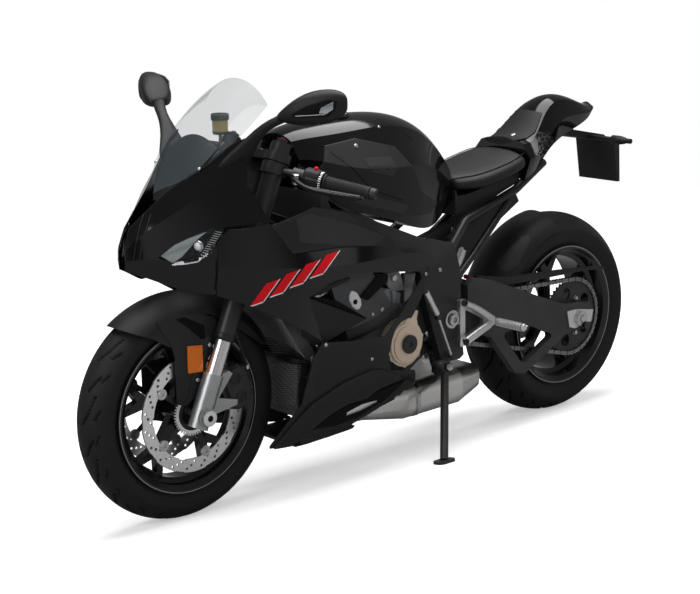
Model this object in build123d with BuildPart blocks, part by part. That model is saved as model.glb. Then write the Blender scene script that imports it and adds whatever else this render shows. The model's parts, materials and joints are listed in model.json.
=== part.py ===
from build123d import *
import os
from math import acos, asin, atan2, cos, degrees, hypot, radians, sin

# A sport motorcycle, built upright and then leaned over onto its side stand.
# While it is built, x runs forward from the rear axle, y to the rider's left and z up from the
# ground, in millimetres. Angles are in degrees.

# Wheels and tyres
WHEELBASE = 1441
FRONT_TYRE_RADIUS = 300
FRONT_TYRE_HALF = 60
REAR_TYRE_RADIUS = 320
REAR_TYRE_HALF = 95
FRONT_CROWN_DROP = 38
REAR_CROWN_DROP = 47
FRONT_WALL = 78
REAR_WALL = 98
FLANGE_HEIGHT = 16
FLANGE_LIP = 8
BARREL_WALL = 6
WELL_DEPTH = 22
FRONT_RIM_HALF = 54
REAR_RIM_HALF = 86
SPOKES = 5
SPOKE_HALF_THICK = 12
HUB_RADIUS = 34
AXLE_RADIUS = 12.5
AXLE_BORE = 8
REAR_AXLE_RADIUS = 14
RUNNING = 0.1
SEAT_GAP = 0.3

# Brakes
DISC_ROOM = 62
FRONT_DISC_BAND = 36
DISC_THICK = 5
FRONT_DISC_SIDE = 66
DISC_HUB_RADIUS = 66
REAR_DISC_RADIUS = 110
REAR_DISC_SIDE = 92
CALIPER_ANGLE = 160
CALIPER_LENGTH = 118
CALIPER_REACH = 18

# Steering and fork
RAKE = 23.1
TRAIL = 93.9
FORK_SPREAD = 105
FORK_UPPER_RADIUS = 27
FORK_SLIDER_RADIUS = 22.5
FORK_FOOT_RADIUS = 27
LOWER_CASTING_TOP = 112
FORK_SEAL = 210
FORK_TOP = 735
SLIDER_TUCK = 60
STEM_RADIUS = 14
HEAD_TUBE_RADIUS = 31
BOTTOM_CLAMP = 470
BOTTOM_CLAMP_THICK = 42
TOP_CLAMP = 690
TOP_CLAMP_THICK = 24
BAR_RADIUS = 11
GRIP_RADIUS = 16

# Engine covers
CASE_HALF = 150
COVER_RADIUS = 66
CLUTCH_RADIUS = 84
COVER_GAP = 8

# Chain drive
PIVOT_X = 570
PIVOT_Z = 415
COUNTERSHAFT_X = 684
COUNTERSHAFT_Z = 420
FRONT_SPROCKET_PATH = 46
SPROCKET_TIP = 112.5
ROLLER_RADIUS = 5
CHAIN_SIDE = 110
CHAIN_HALF = 9
CHAIN_PLATE = 3
CHAIN_HEIGHT = 15
REAR_CHAIN_RUNS = 12
FRONT_CHAIN_RUNS = 8
SPROCKET_HALF = 4

# Paddock-stand bobbin holes in the swingarm
SPOOL_DROP = (-14, -24)
SPOOL_RADIUS = 3.4
SPOOL_DEPTH = 18

# Panels and stand
PANEL = 4
PANEL_SPLIT = 1420
LEAN = 9
STAND_PIVOT = (575, 128, 262)
STAND_REACH_FORWARD = 143
STAND_REACH_OUT = 142
STAND_RADIUS = 12
STAND_AXIS_TILT = 27

# The body's tables and outlines are drawn round wheels of these sizes. They are carried to the
# sizes above: what is behind REAR_GROUP stays with the rear axle, what is ahead of FRONT_GROUP
# goes with the front axle, and what is between stretches.
DRAWN_WHEELBASE = 1441
DRAWN_FRONT_RADIUS = 300
DRAWN_REAR_RADIUS = 320
REAR_GROUP = 760
FRONT_GROUP = 1100
NOSE_FLOOR = 620
HEAD_FLOOR = 720
ARM_REACH = (200, 520)
ARM_FLOOR = 150
ARM_ROOF = 520
TAIL_FLOOR = 640

# Worked out from the driving sizes
front_flange = FRONT_TYRE_RADIUS - FRONT_WALL
rear_flange = REAR_TYRE_RADIUS - REAR_WALL
front_disc_radius = front_flange - DISC_ROOM
steer_dir = (-sin(radians(RAKE)), 0, cos(radians(RAKE)))
fork_offset = FRONT_TYRE_RADIUS * sin(radians(RAKE)) - TRAIL * cos(radians(RAKE))
chain_path = (SPROCKET_TIP + SEAT_GAP) / cos(radians(90 / REAR_CHAIN_RUNS)) + ROLLER_RADIUS
front_axle_at = (WHEELBASE, 0, FRONT_TYRE_RADIUS)
rear_axle_at = (0, 0, REAR_TYRE_RADIUS)


def between(value, start, end):
    """How far a value is on the way from start to end, from 0 to 1."""
    return min(max((value - start) / (end - start), 0), 1)


def fitted(point):
    """Carries a side-view point of the drawn body to the present wheelbase and wheels."""
    x, z = point
    grown_front = FRONT_TYRE_RADIUS - DRAWN_FRONT_RADIUS
    grown_rear = REAR_TYRE_RADIUS - DRAWN_REAR_RADIUS
    forward = between(x, REAR_GROUP, FRONT_GROUP)
    behind_wheel = forward * (1 - between(x, DRAWN_WHEELBASE - 180, DRAWN_WHEELBASE))
    over_arm = 1 - between(x, *ARM_REACH)
    above_nose = between(z, NOSE_FLOOR, HEAD_FLOOR)
    front_share = min(z, NOSE_FLOOR) / DRAWN_FRONT_RADIUS
    front_rise = grown_front * (front_share + (1 - front_share) * above_nose)
    rear_rise = grown_rear * (between(z, 0, ARM_FLOOR) + between(z, ARM_ROOF, TAIL_FLOOR))
    with_head = sin(radians(RAKE)) * cos(radians(RAKE))
    back_share = behind_wheel * (1 + (with_head - 1) * above_nose)
    return (
        x + forward * (WHEELBASE - DRAWN_WHEELBASE) - back_share * grown_front,
        z + forward * front_rise + over_arm * rear_rise,
    )


def fitted_path(points):
    """Carries points (x, y, z) of the drawn body to the present wheelbase and wheels."""
    carried = []
    for x, y, z in points:
        along, height = fitted((x, z))
        carried.append((along, y, height))
    return carried


def round_wheel(outline, drawn_at, drawn_radius, at, radius):
    """Scales a side-view outline that was drawn round one wheel to another wheel."""
    scale = radius / drawn_radius
    return [(at[0] + (x - drawn_at) * scale, at[2] + (z - drawn_radius) * scale) for x, z in outline]


def crown_radius(half, drop):
    """The radius of the tread's arc through its two shoulders and its crown."""
    return (half * half + drop * drop) / (2 * drop)


def at_side(y):
    """The plane of a side view at a distance to the left: local x forward, local y up."""
    return Plane((0, y, 0), x_dir=(1, 0, 0), z_dir=(0, -1, 0))


def plate(outline, low, high, corner=0):
    """A plate with a side-view outline, from one distance to the left to another."""
    with BuildPart() as made:
        with BuildSketch(at_side(low)) as drawn:
            Polygon(*outline, align=None)
            if corner:
                fillet(drawn.vertices(), corner)
        extrude(amount=low - high)
    return made.part


def body_plate(outline, low, high, corner=0):
    """A plate of the drawn body."""
    return plate([fitted(point) for point in outline], low, high, corner)


def rod(start, end, radius, hollow=0):
    """A round bar or tube between two points."""
    axis = Vector(*end) - Vector(*start)
    with BuildPart() as made:
        with BuildSketch(Plane(start, z_dir=axis)):
            Circle(radius)
            if hollow:
                Circle(hollow, mode=Mode.SUBTRACT)
        extrude(amount=axis.length)
    return made.part


def pipe(points, bends, radius):
    """A round tube along straight runs joined by arcs."""
    with BuildPart() as made:
        with BuildLine() as path:
            FilletPolyline(*points, radius=bends)
        with BuildSketch(Plane(points[0], z_dir=path.line % 0)):
            Circle(radius)
        sweep()
    return made.part


def turned(profile, at):
    """A body of revolution about a wheel's axle, from a profile of (across, radius) points."""
    with BuildPart() as made:
        with BuildSketch(Plane(at, x_dir=(0, 1, 0), z_dir=(1, 0, 0))):
            Polygon(*profile, align=None)
        revolve(axis=Axis(at, (0, 1, 0)))
    return made.part


def drum(at, radius, low, high, hollow=0):
    """A round piece whose axis runs across the bike."""
    x, z = at
    return rod((x, low, z), (x, high, z), radius, hollow)


def hull(stations, inset=0):
    """The left half of a body lofted through sections (x, ((half width, height), ...))."""
    with BuildPart() as made:
        for x, sides in stations:
            heights = [fitted((x, height))[1] for _, height in sides]
            foot, top = heights[0], heights[-1]
            outer = [(max(side[0] - inset, 1), height) for side, height in zip(sides, heights)]
            with BuildSketch(Plane.YZ.offset(fitted((x, foot))[0])):
                Polygon((0, foot), *outer, (0, top), align=None)
        loft()
    return made.part


def crowned(stations):
    """A body lofted through sections (x, crown height, shoulder, waist, foot), each (half, height)."""
    with BuildPart() as made:
        for x, *drawn in stations:
            crown = fitted((x, drawn[0]))[1]
            shoulder, waist, foot = ((half, fitted((x, height))[1]) for half, height in drawn[1:])
            with BuildSketch(Plane.YZ.offset(fitted((x, crown))[0])):
                with BuildLine():
                    ThreePointArc((-shoulder[0], shoulder[1]), (0, crown), shoulder)
                    Polyline(shoulder, waist, foot, (-foot[0], foot[1]), (-waist[0], waist[1]),
                             (-shoulder[0], shoulder[1]))
                make_face()
        loft()
    return made.part


def both(shape):
    """A left-hand piece together with its mirror image."""
    with BuildPart() as made:
        add(shape)
        mirror(about=Plane.XZ)
    return made.part


def along_fork(distance, y):
    """A point on a fork leg's centre line, a distance up from the axle."""
    return (WHEELBASE + distance * steer_dir[0], y, FRONT_TYRE_RADIUS + distance * steer_dir[2])


def on_steering(distance):
    """A point on the steering axis, level with that distance up the fork."""
    x, _, z = along_fork(distance, 0)
    return (x - fork_offset * cos(radians(RAKE)), 0, z - fork_offset * sin(radians(RAKE)))


def tyre(at, radius, flange, half, drop, rim_half):
    """A tyre: tread facets that touch the arc at the lean's angle, sidewalls and beads."""
    bead = rim_half - FLANGE_LIP - SEAT_GAP
    shoulder = half - 1.5
    crown = crown_radius(shoulder, drop)
    edge = degrees(asin(shoulder / crown))
    right = [(crown * sin(radians(a)), radius - crown + crown * cos(radians(a))) for a in (LEAN, edge)]
    right += [(bead, flange + 1), (bead, flange - FLANGE_HEIGHT)]
    return turned(right + [(-y, r) for y, r in reversed(right)], at)


def rim(at, flange, half, hub_low, hub_high, bore):
    """A cast wheel: barrel, forked spokes with a window each, and a bored hub."""
    lip = half - FLANGE_LIP
    well = half * 0.42
    seat = flange - FLANGE_HEIGHT - 0.5
    floor = seat - WELL_DEPTH + 6
    outer = [(half, flange), (lip, flange), (lip, seat), (well + 8, seat - 2), (well, floor)]
    inner = [(half, flange - BARREL_WALL - 4), (lip, seat - BARREL_WALL),
             (well + 8, seat - 2 - BARREL_WALL), (well + 1, floor - BARREL_WALL)]
    profile = outer + [(-y, r) for y, r in reversed(outer)]
    profile += [(-y, r) for y, r in inner] + list(reversed(inner))
    reach = floor - BARREL_WALL / 2
    barrel = turned(profile, at)
    with BuildPart() as made:
        add(barrel)
        with BuildSketch(Plane(at, x_dir=(1, 0, 0), z_dir=(0, -1, 0)).offset(-SPOKE_HALF_THICK)):
            with PolarLocations(0, SPOKES, start_angle=90):
                Polygon((HUB_RADIUS - 6, -17), (reach * 0.6, -13), (reach, -52), (reach, 52),
                        (reach * 0.6, 13), (HUB_RADIUS - 6, 17), align=None)
                Polygon((reach * 0.76, 0), (reach - 9, -27), (reach - 9, 27), align=None,
                        mode=Mode.SUBTRACT)
        extrude(amount=2 * SPOKE_HALF_THICK)
    with BuildPart() as whole:
        add(made.part)
        add(drum((at[0], at[2]), HUB_RADIUS, hub_low, hub_high))
        add(drum((at[0], at[2]), bore, hub_low - 1, hub_high + 1), mode=Mode.SUBTRACT)
    return whole.part


def disc(at, radius, band, carrier, bore, low, high):
    """A brake disc: braking ring, five arms and a bolting ring."""
    with BuildPart() as made:
        with BuildSketch(Plane(at, x_dir=(1, 0, 0), z_dir=(0, -1, 0)).offset(-low)):
            Circle(radius)
            Circle(radius - band, mode=Mode.SUBTRACT)
            with PolarLocations(0, SPOKES, start_angle=126):
                Polygon((bore + 6, -15), (radius - band + 2, -9), (radius - band + 2, 9), (bore + 6, 15),
                        align=None)
            Circle(carrier)
            Circle(bore, mode=Mode.SUBTRACT)
        extrude(amount=low - high)
    return made.part


# Front wheel
with BuildPart() as front_tyre:
    add(tyre(front_axle_at, FRONT_TYRE_RADIUS, front_flange, FRONT_TYRE_HALF, FRONT_CROWN_DROP, FRONT_RIM_HALF))

front_hub_half = FRONT_DISC_SIDE - DISC_THICK / 2
with BuildPart() as front_rim:
    add(rim(front_axle_at, front_flange, FRONT_RIM_HALF, -front_hub_half, front_hub_half, AXLE_RADIUS + RUNNING))

front_disc = disc(front_axle_at, front_disc_radius, FRONT_DISC_BAND, DISC_HUB_RADIUS, HUB_RADIUS - 8,
                  front_hub_half, front_hub_half + DISC_THICK)
with BuildPart() as front_discs:
    add(front_disc)
    mirror(about=Plane.XZ)

# Rear wheel
with BuildPart() as rear_tyre:
    add(tyre(rear_axle_at, REAR_TYRE_RADIUS, rear_flange, REAR_TYRE_HALF, REAR_CROWN_DROP, REAR_RIM_HALF))

sprocket_low = CHAIN_SIDE - SPROCKET_HALF
rear_disc_low = -REAR_DISC_SIDE - DISC_THICK
with BuildPart() as rear_rim:
    add(rim(rear_axle_at, rear_flange, REAR_RIM_HALF, -REAR_DISC_SIDE, sprocket_low, REAR_AXLE_RADIUS + RUNNING))

with BuildPart() as rear_disc:
    add(disc(rear_axle_at, REAR_DISC_RADIUS, 30, 52, HUB_RADIUS - 10, rear_disc_low, -REAR_DISC_SIDE))

with BuildPart() as rear_sprocket:
    with BuildSketch(Plane(rear_axle_at, x_dir=(1, 0, 0), z_dir=(0, -1, 0)).offset(-sprocket_low)):
        Circle(SPROCKET_TIP)
        with PolarLocations((SPROCKET_TIP + 44) / 2, SPOKES):
            Circle(19, mode=Mode.SUBTRACT)
        Circle(HUB_RADIUS - 10, mode=Mode.SUBTRACT)
    extrude(amount=-2 * SPROCKET_HALF)

# Axles
axle_out = FORK_SPREAD + FORK_FOOT_RADIUS
with BuildPart() as front_axle:
    add(drum((WHEELBASE, FRONT_TYRE_RADIUS), AXLE_RADIUS, -axle_out, axle_out))
    add(drum((WHEELBASE, FRONT_TYRE_RADIUS), AXLE_RADIUS + 7, axle_out, axle_out + 9))
    add(drum((WHEELBASE, FRONT_TYRE_RADIUS), AXLE_BORE, -axle_out - 1, axle_out + 10), mode=Mode.SUBTRACT)

# Fork and clamps
slider_end = FORK_SEAL + SLIDER_TUCK
left_slider = rod(along_fork(LOWER_CASTING_TOP, FORK_SPREAD), along_fork(slider_end, FORK_SPREAD), FORK_SLIDER_RADIUS)
with BuildPart() as fork_sliders:
    add(left_slider)
    mirror(about=Plane.XZ)

left_upper = rod(along_fork(FORK_SEAL, FORK_SPREAD), along_fork(FORK_TOP, FORK_SPREAD), FORK_UPPER_RADIUS)
with BuildPart() as fork_uppers:
    add(left_upper)
    add(left_slider, mode=Mode.SUBTRACT)
    mirror(about=Plane.XZ)

lug_low = FRONT_DISC_SIDE + 22
left_casting = rod(along_fork(-34, FORK_SPREAD), along_fork(LOWER_CASTING_TOP, FORK_SPREAD), FORK_FOOT_RADIUS)
caliper_lug = plate(
    [
        (WHEELBASE - 14, FRONT_TYRE_RADIUS - 12),
        (WHEELBASE - 120, FRONT_TYRE_RADIUS + 4),
        (WHEELBASE - 122, FRONT_TYRE_RADIUS + 18),
        (WHEELBASE - 60, FRONT_TYRE_RADIUS + 34),
        (WHEELBASE - 108, FRONT_TYRE_RADIUS + 92),
        (WHEELBASE - 96, FRONT_TYRE_RADIUS + 102),
        (WHEELBASE - 30, FRONT_TYRE_RADIUS + 84),
    ],
    lug_low,
    lug_low + 14,
)
front_bore = drum((WHEELBASE, FRONT_TYRE_RADIUS), AXLE_RADIUS, 0, FORK_SPREAD + 60)
with BuildPart() as fork_lowers:
    add(left_casting)
    add(caliper_lug)
    add(front_bore, mode=Mode.SUBTRACT)
    mirror(about=Plane.XZ)

disc_slot = FRONT_DISC_SIDE - DISC_THICK / 2 - 5
caliper_tip = front_disc_radius + CALIPER_REACH
caliper_root = front_disc_radius - 56
with BuildPart() as caliper:
    with BuildSketch(Plane(front_axle_at, x_dir=(1, 0, 0), z_dir=(0, -1, 0)).offset(-46)):
        with PolarLocations(0, 1, start_angle=CALIPER_ANGLE):
            Polygon((caliper_root, -CALIPER_LENGTH / 2 + 14), (caliper_root + 24, -CALIPER_LENGTH / 2),
                    (caliper_tip - 14, -CALIPER_LENGTH / 2), (caliper_tip, -CALIPER_LENGTH / 2 + 30),
                    (caliper_tip, CALIPER_LENGTH / 2 - 30), (caliper_tip - 14, CALIPER_LENGTH / 2),
                    (caliper_root + 24, CALIPER_LENGTH / 2), (caliper_root, CALIPER_LENGTH / 2 - 14),
                    align=None)
    extrude(amount=-(lug_low - 46))
caliper_slot = drum((WHEELBASE, FRONT_TYRE_RADIUS), front_disc_radius + 5, disc_slot, disc_slot + DISC_THICK + 10)
with BuildPart() as front_calipers:
    add(caliper.part)
    add(caliper_slot, mode=Mode.SUBTRACT)
    mirror(about=Plane.XZ)


def clamp_outline(distance, thick):
    """A yoke across the fork at one height, with eyes for both legs and the stem."""
    middle = on_steering(distance)
    with BuildPart() as made:
        with BuildSketch(Plane(middle, x_dir=(0, 1, 0), z_dir=steer_dir)):
            Polygon((-FORK_SPREAD, -fork_offset + 24), (-34, 22), (34, 22), (FORK_SPREAD, -fork_offset + 24),
                    (FORK_SPREAD, -fork_offset - 28), (-FORK_SPREAD, -fork_offset - 28), align=None)
            with Locations((-FORK_SPREAD, -fork_offset), (FORK_SPREAD, -fork_offset)):
                Circle(FORK_UPPER_RADIUS + 9)
            Circle(34)
        extrude(amount=thick)
    return made.part


leg_holes = both(rod(along_fork(FORK_SEAL, FORK_SPREAD), along_fork(FORK_TOP + 40, FORK_SPREAD), FORK_UPPER_RADIUS))
bottom_yoke = clamp_outline(BOTTOM_CLAMP, BOTTOM_CLAMP_THICK)
top_yoke = clamp_outline(TOP_CLAMP, TOP_CLAMP_THICK)
stem = rod(on_steering(BOTTOM_CLAMP), on_steering(TOP_CLAMP + TOP_CLAMP_THICK + 6), STEM_RADIUS)
with BuildPart() as fork_clamps:
    add(bottom_yoke)
    add(top_yoke)
    add(leg_holes, mode=Mode.SUBTRACT)
    add(stem)

# Handlebars: a clamp round each leg, a bar, its grip and end weight
bar_level = TOP_CLAMP - 34
bar_root = along_fork(bar_level + 12, FORK_SPREAD)
bar_start = (bar_root[0] - 8, FORK_SPREAD + FORK_UPPER_RADIUS - 2, bar_root[2] - 2)
reach_out = Vector(-135, 213, -54)
bar_end = tuple(Vector(*bar_start) + reach_out)


def along_bar(share):
    """A point along the left handlebar, as a share of its length."""
    return tuple(Vector(*bar_start) + reach_out * share)


left_bar = rod(bar_start, bar_end, BAR_RADIUS)
left_ring = rod(along_fork(bar_level, FORK_SPREAD), along_fork(bar_level + 30, FORK_SPREAD), FORK_UPPER_RADIUS + 8)
left_grip = rod(along_bar(0.45), along_bar(0.94), GRIP_RADIUS)
left_weight = rod(along_bar(0.95), along_bar(1.0), GRIP_RADIUS - 1)
left_switch = rod(along_bar(0.27), along_bar(0.43), GRIP_RADIUS + 6)
with BuildPart() as handlebars:
    add(left_ring)
    add(left_bar)
    add(left_weight)
    add(left_switch)
    mirror(about=Plane.XZ)
    add(leg_holes, mode=Mode.SUBTRACT)

with BuildPart() as hand_grips:
    add(left_grip)
    add(left_bar, mode=Mode.SUBTRACT)
    mirror(about=Plane.XZ)

lever_root = along_bar(0.2)
lever = [
    (lever_root[0] + 26, lever_root[1], lever_root[2] - 4),
    (lever_root[0] + 34, lever_root[1] + 60, lever_root[2] - 22),
    (lever_root[0] - 42, lever_root[1] + 182, lever_root[2] - 42),
]
left_lever = pipe(lever, 60, 6)
left_perch = rod(along_bar(0.12), along_bar(0.24), GRIP_RADIUS + 2)
perch_link = rod(along_bar(0.18), lever[0], 9)
with BuildPart() as control_levers:
    add(left_perch)
    add(perch_link)
    add(left_lever)
    add(left_bar, mode=Mode.SUBTRACT)
    mirror(about=Plane.XZ)

clamp_middle = on_steering(TOP_CLAMP)
reservoir_at = (clamp_middle[0] + 34.5, -126, clamp_middle[2] + 71.5)
reservoir_neck = (reservoir_at[0], reservoir_at[1], reservoir_at[2] + 34)
reservoir_top = (reservoir_at[0], reservoir_at[1], reservoir_at[2] + 50)
perch_top = (along_bar(0.18)[0], -along_bar(0.18)[1], along_bar(0.18)[2])
with BuildPart() as brake_reservoir:
    add(rod(reservoir_at, reservoir_neck, 21))
    add(rod(reservoir_neck, reservoir_top, 24))
    add(rod(perch_top, reservoir_at, 5))
    add(control_levers.part, mode=Mode.SUBTRACT)
    add(handlebars.part, mode=Mode.SUBTRACT)
    add(fork_clamps.part, mode=Mode.SUBTRACT)

# Front mudguard over the tyre, with legs down to the fork
guard_inner = FRONT_TYRE_RADIUS + 12
guard_outer = guard_inner + PANEL
guard_side = 78
guard_foot = FRONT_TYRE_RADIUS * 0.68
with BuildPart() as guard_ring:
    with BuildSketch(Plane(front_axle_at, x_dir=(0, 1, 0), z_dir=(1, 0, 0))):
        with BuildLine():
            ThreePointArc((-guard_side, guard_outer - 42), (0, guard_outer), (guard_side, guard_outer - 42))
            Line((guard_side, guard_outer - 42), (guard_side, guard_foot))
            Line((guard_side, guard_foot), (guard_side - PANEL, guard_foot))
            Line((guard_side - PANEL, guard_foot), (guard_side - PANEL, guard_inner - 42))
            ThreePointArc((guard_side - PANEL, guard_inner - 42), (0, guard_inner), (PANEL - guard_side, guard_inner - 42))
            Line((PANEL - guard_side, guard_inner - 42), (PANEL - guard_side, guard_foot))
            Line((PANEL - guard_side, guard_foot), (-guard_side, guard_foot))
            Line((-guard_side, guard_foot), (-guard_side, guard_outer - 42))
        make_face()
    revolve(axis=Axis(front_axle_at, (0, 1, 0)))
guard_drawn = [
    (1655, 560), (1600, 640), (1440, 660), (1290, 640), (1180, 560), (1150, 470), (1205, 440),
    (1290, 500), (1390, 560), (1425, 400), (1468, 330), (1500, 335), (1478, 470), (1560, 520),
]
guard_outline = plate(
    round_wheel(guard_drawn, DRAWN_WHEELBASE, DRAWN_FRONT_RADIUS, front_axle_at, FRONT_TYRE_RADIUS),
    -guard_side - 1,
    guard_side + 1,
)
with BuildPart() as front_fender:
    add(guard_ring.part)
    add(guard_outline, mode=Mode.INTERSECT)

# Frame: steering head, two beams and the plates that hold the swingarm
head_low = BOTTOM_CLAMP + BOTTOM_CLAMP_THICK + 2
head_high = TOP_CLAMP - 2
head_tube = rod(on_steering(head_low), on_steering(head_high), HEAD_TUBE_RADIUS)
head_bore = rod(on_steering(head_low - 30), on_steering(head_high + 30), STEM_RADIUS + RUNNING)
beam_stations = (
    (1165, 24, 56, 800, 872),
    (1040, 92, 128, 742, 838),
    (860, 122, 152, 640, 742),
    (690, 124, 152, 570, 672),
    (600, 124, 152, 480, 650),
)
with BuildPart() as left_beam:
    for x, inner, outer, drawn_low, drawn_high in beam_stations:
        along, low = fitted((x, drawn_low))
        high = fitted((x, drawn_high))[1]
        with BuildSketch(Plane.YZ.offset(along)):
            with Locations(((inner + outer) / 2, (low + high) / 2)):
                Rectangle(outer - inner, high - low)
    loft(ruled=True)
PLATE_INNER = 124
PLATE_OUTER = 152
pivot_plate = body_plate(
    [(700, 600), (622, 646), (560, 640), (535, 560), (528, 380), (520, 300), (536, 290), (604, 290),
     (612, 300), (640, 380), (680, 500)],
    PLATE_INNER,
    PLATE_OUTER,
)
pivot_spindle = drum((PIVOT_X, PIVOT_Z), 15, -PLATE_OUTER - 6, PLATE_OUTER + 6)
upper_cross = drum((590, 610), 16, -PLATE_INNER - 1, PLATE_INNER + 1)
shock_mount = body_plate([(600, 600), (590, 626), (436, 664), (410, 652), (414, 634)], -12, 12)
with BuildPart() as main_frame:
    add(left_beam.part)
    add(pivot_plate)
    mirror(about=Plane.XZ)
    add(head_tube)
    add(upper_cross)
    add(shock_mount)
    add(pivot_spindle)
    add(head_bore, mode=Mode.SUBTRACT)
    add(drum((PIVOT_X, PIVOT_Z), 9, -PLATE_OUTER - 10, PLATE_OUTER + 10), mode=Mode.SUBTRACT)

SUBFRAME_TUBE = 13
upper_rail = pipe(
    fitted_path([(560, 138, 622), (470, 112, 690), (230, 84, 748), (90, 70, 816)]), [60, 80], SUBFRAME_TUBE
)
lower_rail = pipe(fitted_path([(536, 138, 530), (430, 112, 590), (262, 84, 716)]), [60], SUBFRAME_TUBE - 2)
rail_tie = drum(fitted((120, 800)), 9, -70, 70)
with BuildPart() as subframe:
    add(upper_rail)
    add(lower_rail)
    mirror(about=Plane.XZ)
    add(rail_tie)
    add(main_frame.part, mode=Mode.SUBTRACT)

# Swingarm: front block on the pivot, a bridge between the chain's runs, and two arms
arm_left = body_plate(
    [(500, 505), (470, 520), (400, 505), (200, 425), (60, 372), (-48, 362), (-66, 340), (-66, 300), (-40, 286),
     (60, 280), (150, 236), (250, 188), (292, 196), (400, 330), (500, 362)],
    CHAIN_SIDE + 13,
    CHAIN_SIDE + 39,
    6,
)
arm_window = body_plate([(118, 286), (244, 224), (268, 226), (352, 330), (250, 344)], CHAIN_SIDE, CHAIN_SIDE + 50, 10)
arm_right = body_plate(
    [(470, 505), (400, 500), (200, 425), (60, 368), (-48, 358), (-66, 340), (-66, 300), (-40, 286), (60, 284),
     (300, 330), (470, 362)],
    -REAR_DISC_SIDE - 47,
    -REAR_DISC_SIDE - 21,
    6,
)
front_block = body_plate([(604, 398), (604, 440), (560, 446), (470, 500), (462, 500), (462, 384), (420, 380), (408, 362),
                     (420, 346), (462, 360), (560, 372)], -112, 96)
chain_bridge = body_plate([(548, 372), (548, 440), (462, 436), (462, 358)], 96, CHAIN_SIDE + 14)
pivot_hole = drum((PIVOT_X, PIVOT_Z), 15 + RUNNING, -120, 120)
axle_hole = drum((0, REAR_TYRE_RADIUS), REAR_AXLE_RADIUS, -160, 160)
right_foot = body_plate([(480, 500), (462, 500), (462, 362), (480, 362)], -139, -111)
spool_at = (SPOOL_DROP[0], REAR_TYRE_RADIUS + SPOOL_DROP[1])
spool_left = drum(spool_at, SPOOL_RADIUS, CHAIN_SIDE + 39 - SPOOL_DEPTH, CHAIN_SIDE + 60)
spool_right = drum(spool_at, SPOOL_RADIUS, -REAR_DISC_SIDE - 60, -REAR_DISC_SIDE - 47 + SPOOL_DEPTH)
with BuildPart() as swingarm:
    add(front_block)
    add(chain_bridge)
    add(arm_left)
    add(arm_right)
    add(right_foot)
    add(arm_window, mode=Mode.SUBTRACT)
    add(pivot_hole, mode=Mode.SUBTRACT)
    add(axle_hole, mode=Mode.SUBTRACT)
    add(spool_left, mode=Mode.SUBTRACT)
    add(spool_right, mode=Mode.SUBTRACT)

axle_left = CHAIN_SIDE + 39
axle_right = -REAR_DISC_SIDE - 47
with BuildPart() as rear_axle:
    add(drum((0, REAR_TYRE_RADIUS), REAR_AXLE_RADIUS, axle_right, axle_left))
    add(drum((0, REAR_TYRE_RADIUS), 24, axle_left, axle_left + 14))
    add(drum((0, REAR_TYRE_RADIUS), 24, axle_right - 14, axle_right))
    add(drum((0, REAR_TYRE_RADIUS), 22, sprocket_low + 1, axle_left - 26))
    add(drum((0, REAR_TYRE_RADIUS), 22, axle_right + 26, -REAR_DISC_SIDE - 1))
    add(drum((0, REAR_TYRE_RADIUS), 8, axle_right - 20, axle_left + 20), mode=Mode.SUBTRACT)


# Chain: two side strips and the rollers between them, in short straight runs round both sprockets
def chain_loop(extra):
    """The corners of the loop round both sprockets, this far outside the chain's pitch line."""
    rise = COUNTERSHAFT_Z - REAR_TYRE_RADIUS
    uphill = degrees(atan2(rise, COUNTERSHAFT_X))
    contact = degrees(acos((chain_path - FRONT_SPROCKET_PATH) / hypot(COUNTERSHAFT_X, rise)))
    wraps = (
        (0, REAR_TYRE_RADIUS, chain_path, uphill + contact, 360 - 2 * contact, REAR_CHAIN_RUNS),
        (COUNTERSHAFT_X, COUNTERSHAFT_Z, FRONT_SPROCKET_PATH, uphill - contact, 2 * contact, FRONT_CHAIN_RUNS),
    )
    return [
        (x + (path + extra) * cos(radians(first + sweep * run / runs)),
         z + (path + extra) * sin(radians(first + sweep * run / runs)))
        for x, z, path, first, sweep, runs in wraps
        for run in range(runs + 1)
    ]


chain_strips = (
    (CHAIN_SIDE - CHAIN_HALF, CHAIN_SIDE - CHAIN_HALF + CHAIN_PLATE, CHAIN_HEIGHT / 2),
    (CHAIN_SIDE + CHAIN_HALF - CHAIN_PLATE, CHAIN_SIDE + CHAIN_HALF, CHAIN_HEIGHT / 2),
    (CHAIN_SIDE - CHAIN_HALF + CHAIN_PLATE, CHAIN_SIDE + CHAIN_HALF - CHAIN_PLATE, ROLLER_RADIUS),
)
strips = []
for low, high, reach in chain_strips:
    with BuildPart() as strip:
        add(plate(chain_loop(reach), low, high))
        add(plate(chain_loop(-reach), low - 1, high + 1), mode=Mode.SUBTRACT)
    strips.append(strip.part)
with BuildPart() as drive_chain:
    for strip in strips:
        add(strip)

# Engine: crankcase, inclined cylinders and head, and the covers on both sides
crankcase = body_plate(
    [(1000, 340), (980, 460), (860, 500), (700, 500), (662, 470), (640, 400), (606, 350), (606, 318), (640, 300),
     (700, 262), (940, 250)],
    -118,
    92,
)
case_sides = body_plate(
    [(1000, 340), (980, 460), (860, 500), (772, 500), (745, 440), (746, 390), (744, 330), (760, 262), (940, 250)],
    -CASE_HALF,
    CASE_HALF,
)
cylinders = body_plate([(985, 440), (1060, 640), (900, 690), (800, 480)], -106, 106)
head_sides = body_plate([(985, 440), (1045, 600), (905, 628), (830, 520), (800, 480)], -165, 165)
with BuildPart() as engine_block:
    add(crankcase)
    add(case_sides)
    add(cylinders)
    add(head_sides)
    add(drum((613, 318), 7, -PLATE_INNER, PLATE_INNER))
    add(drum(fitted((888, 676)), 12, -PLATE_INNER, PLATE_INNER))
    add(main_frame.part, mode=Mode.SUBTRACT)

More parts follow.
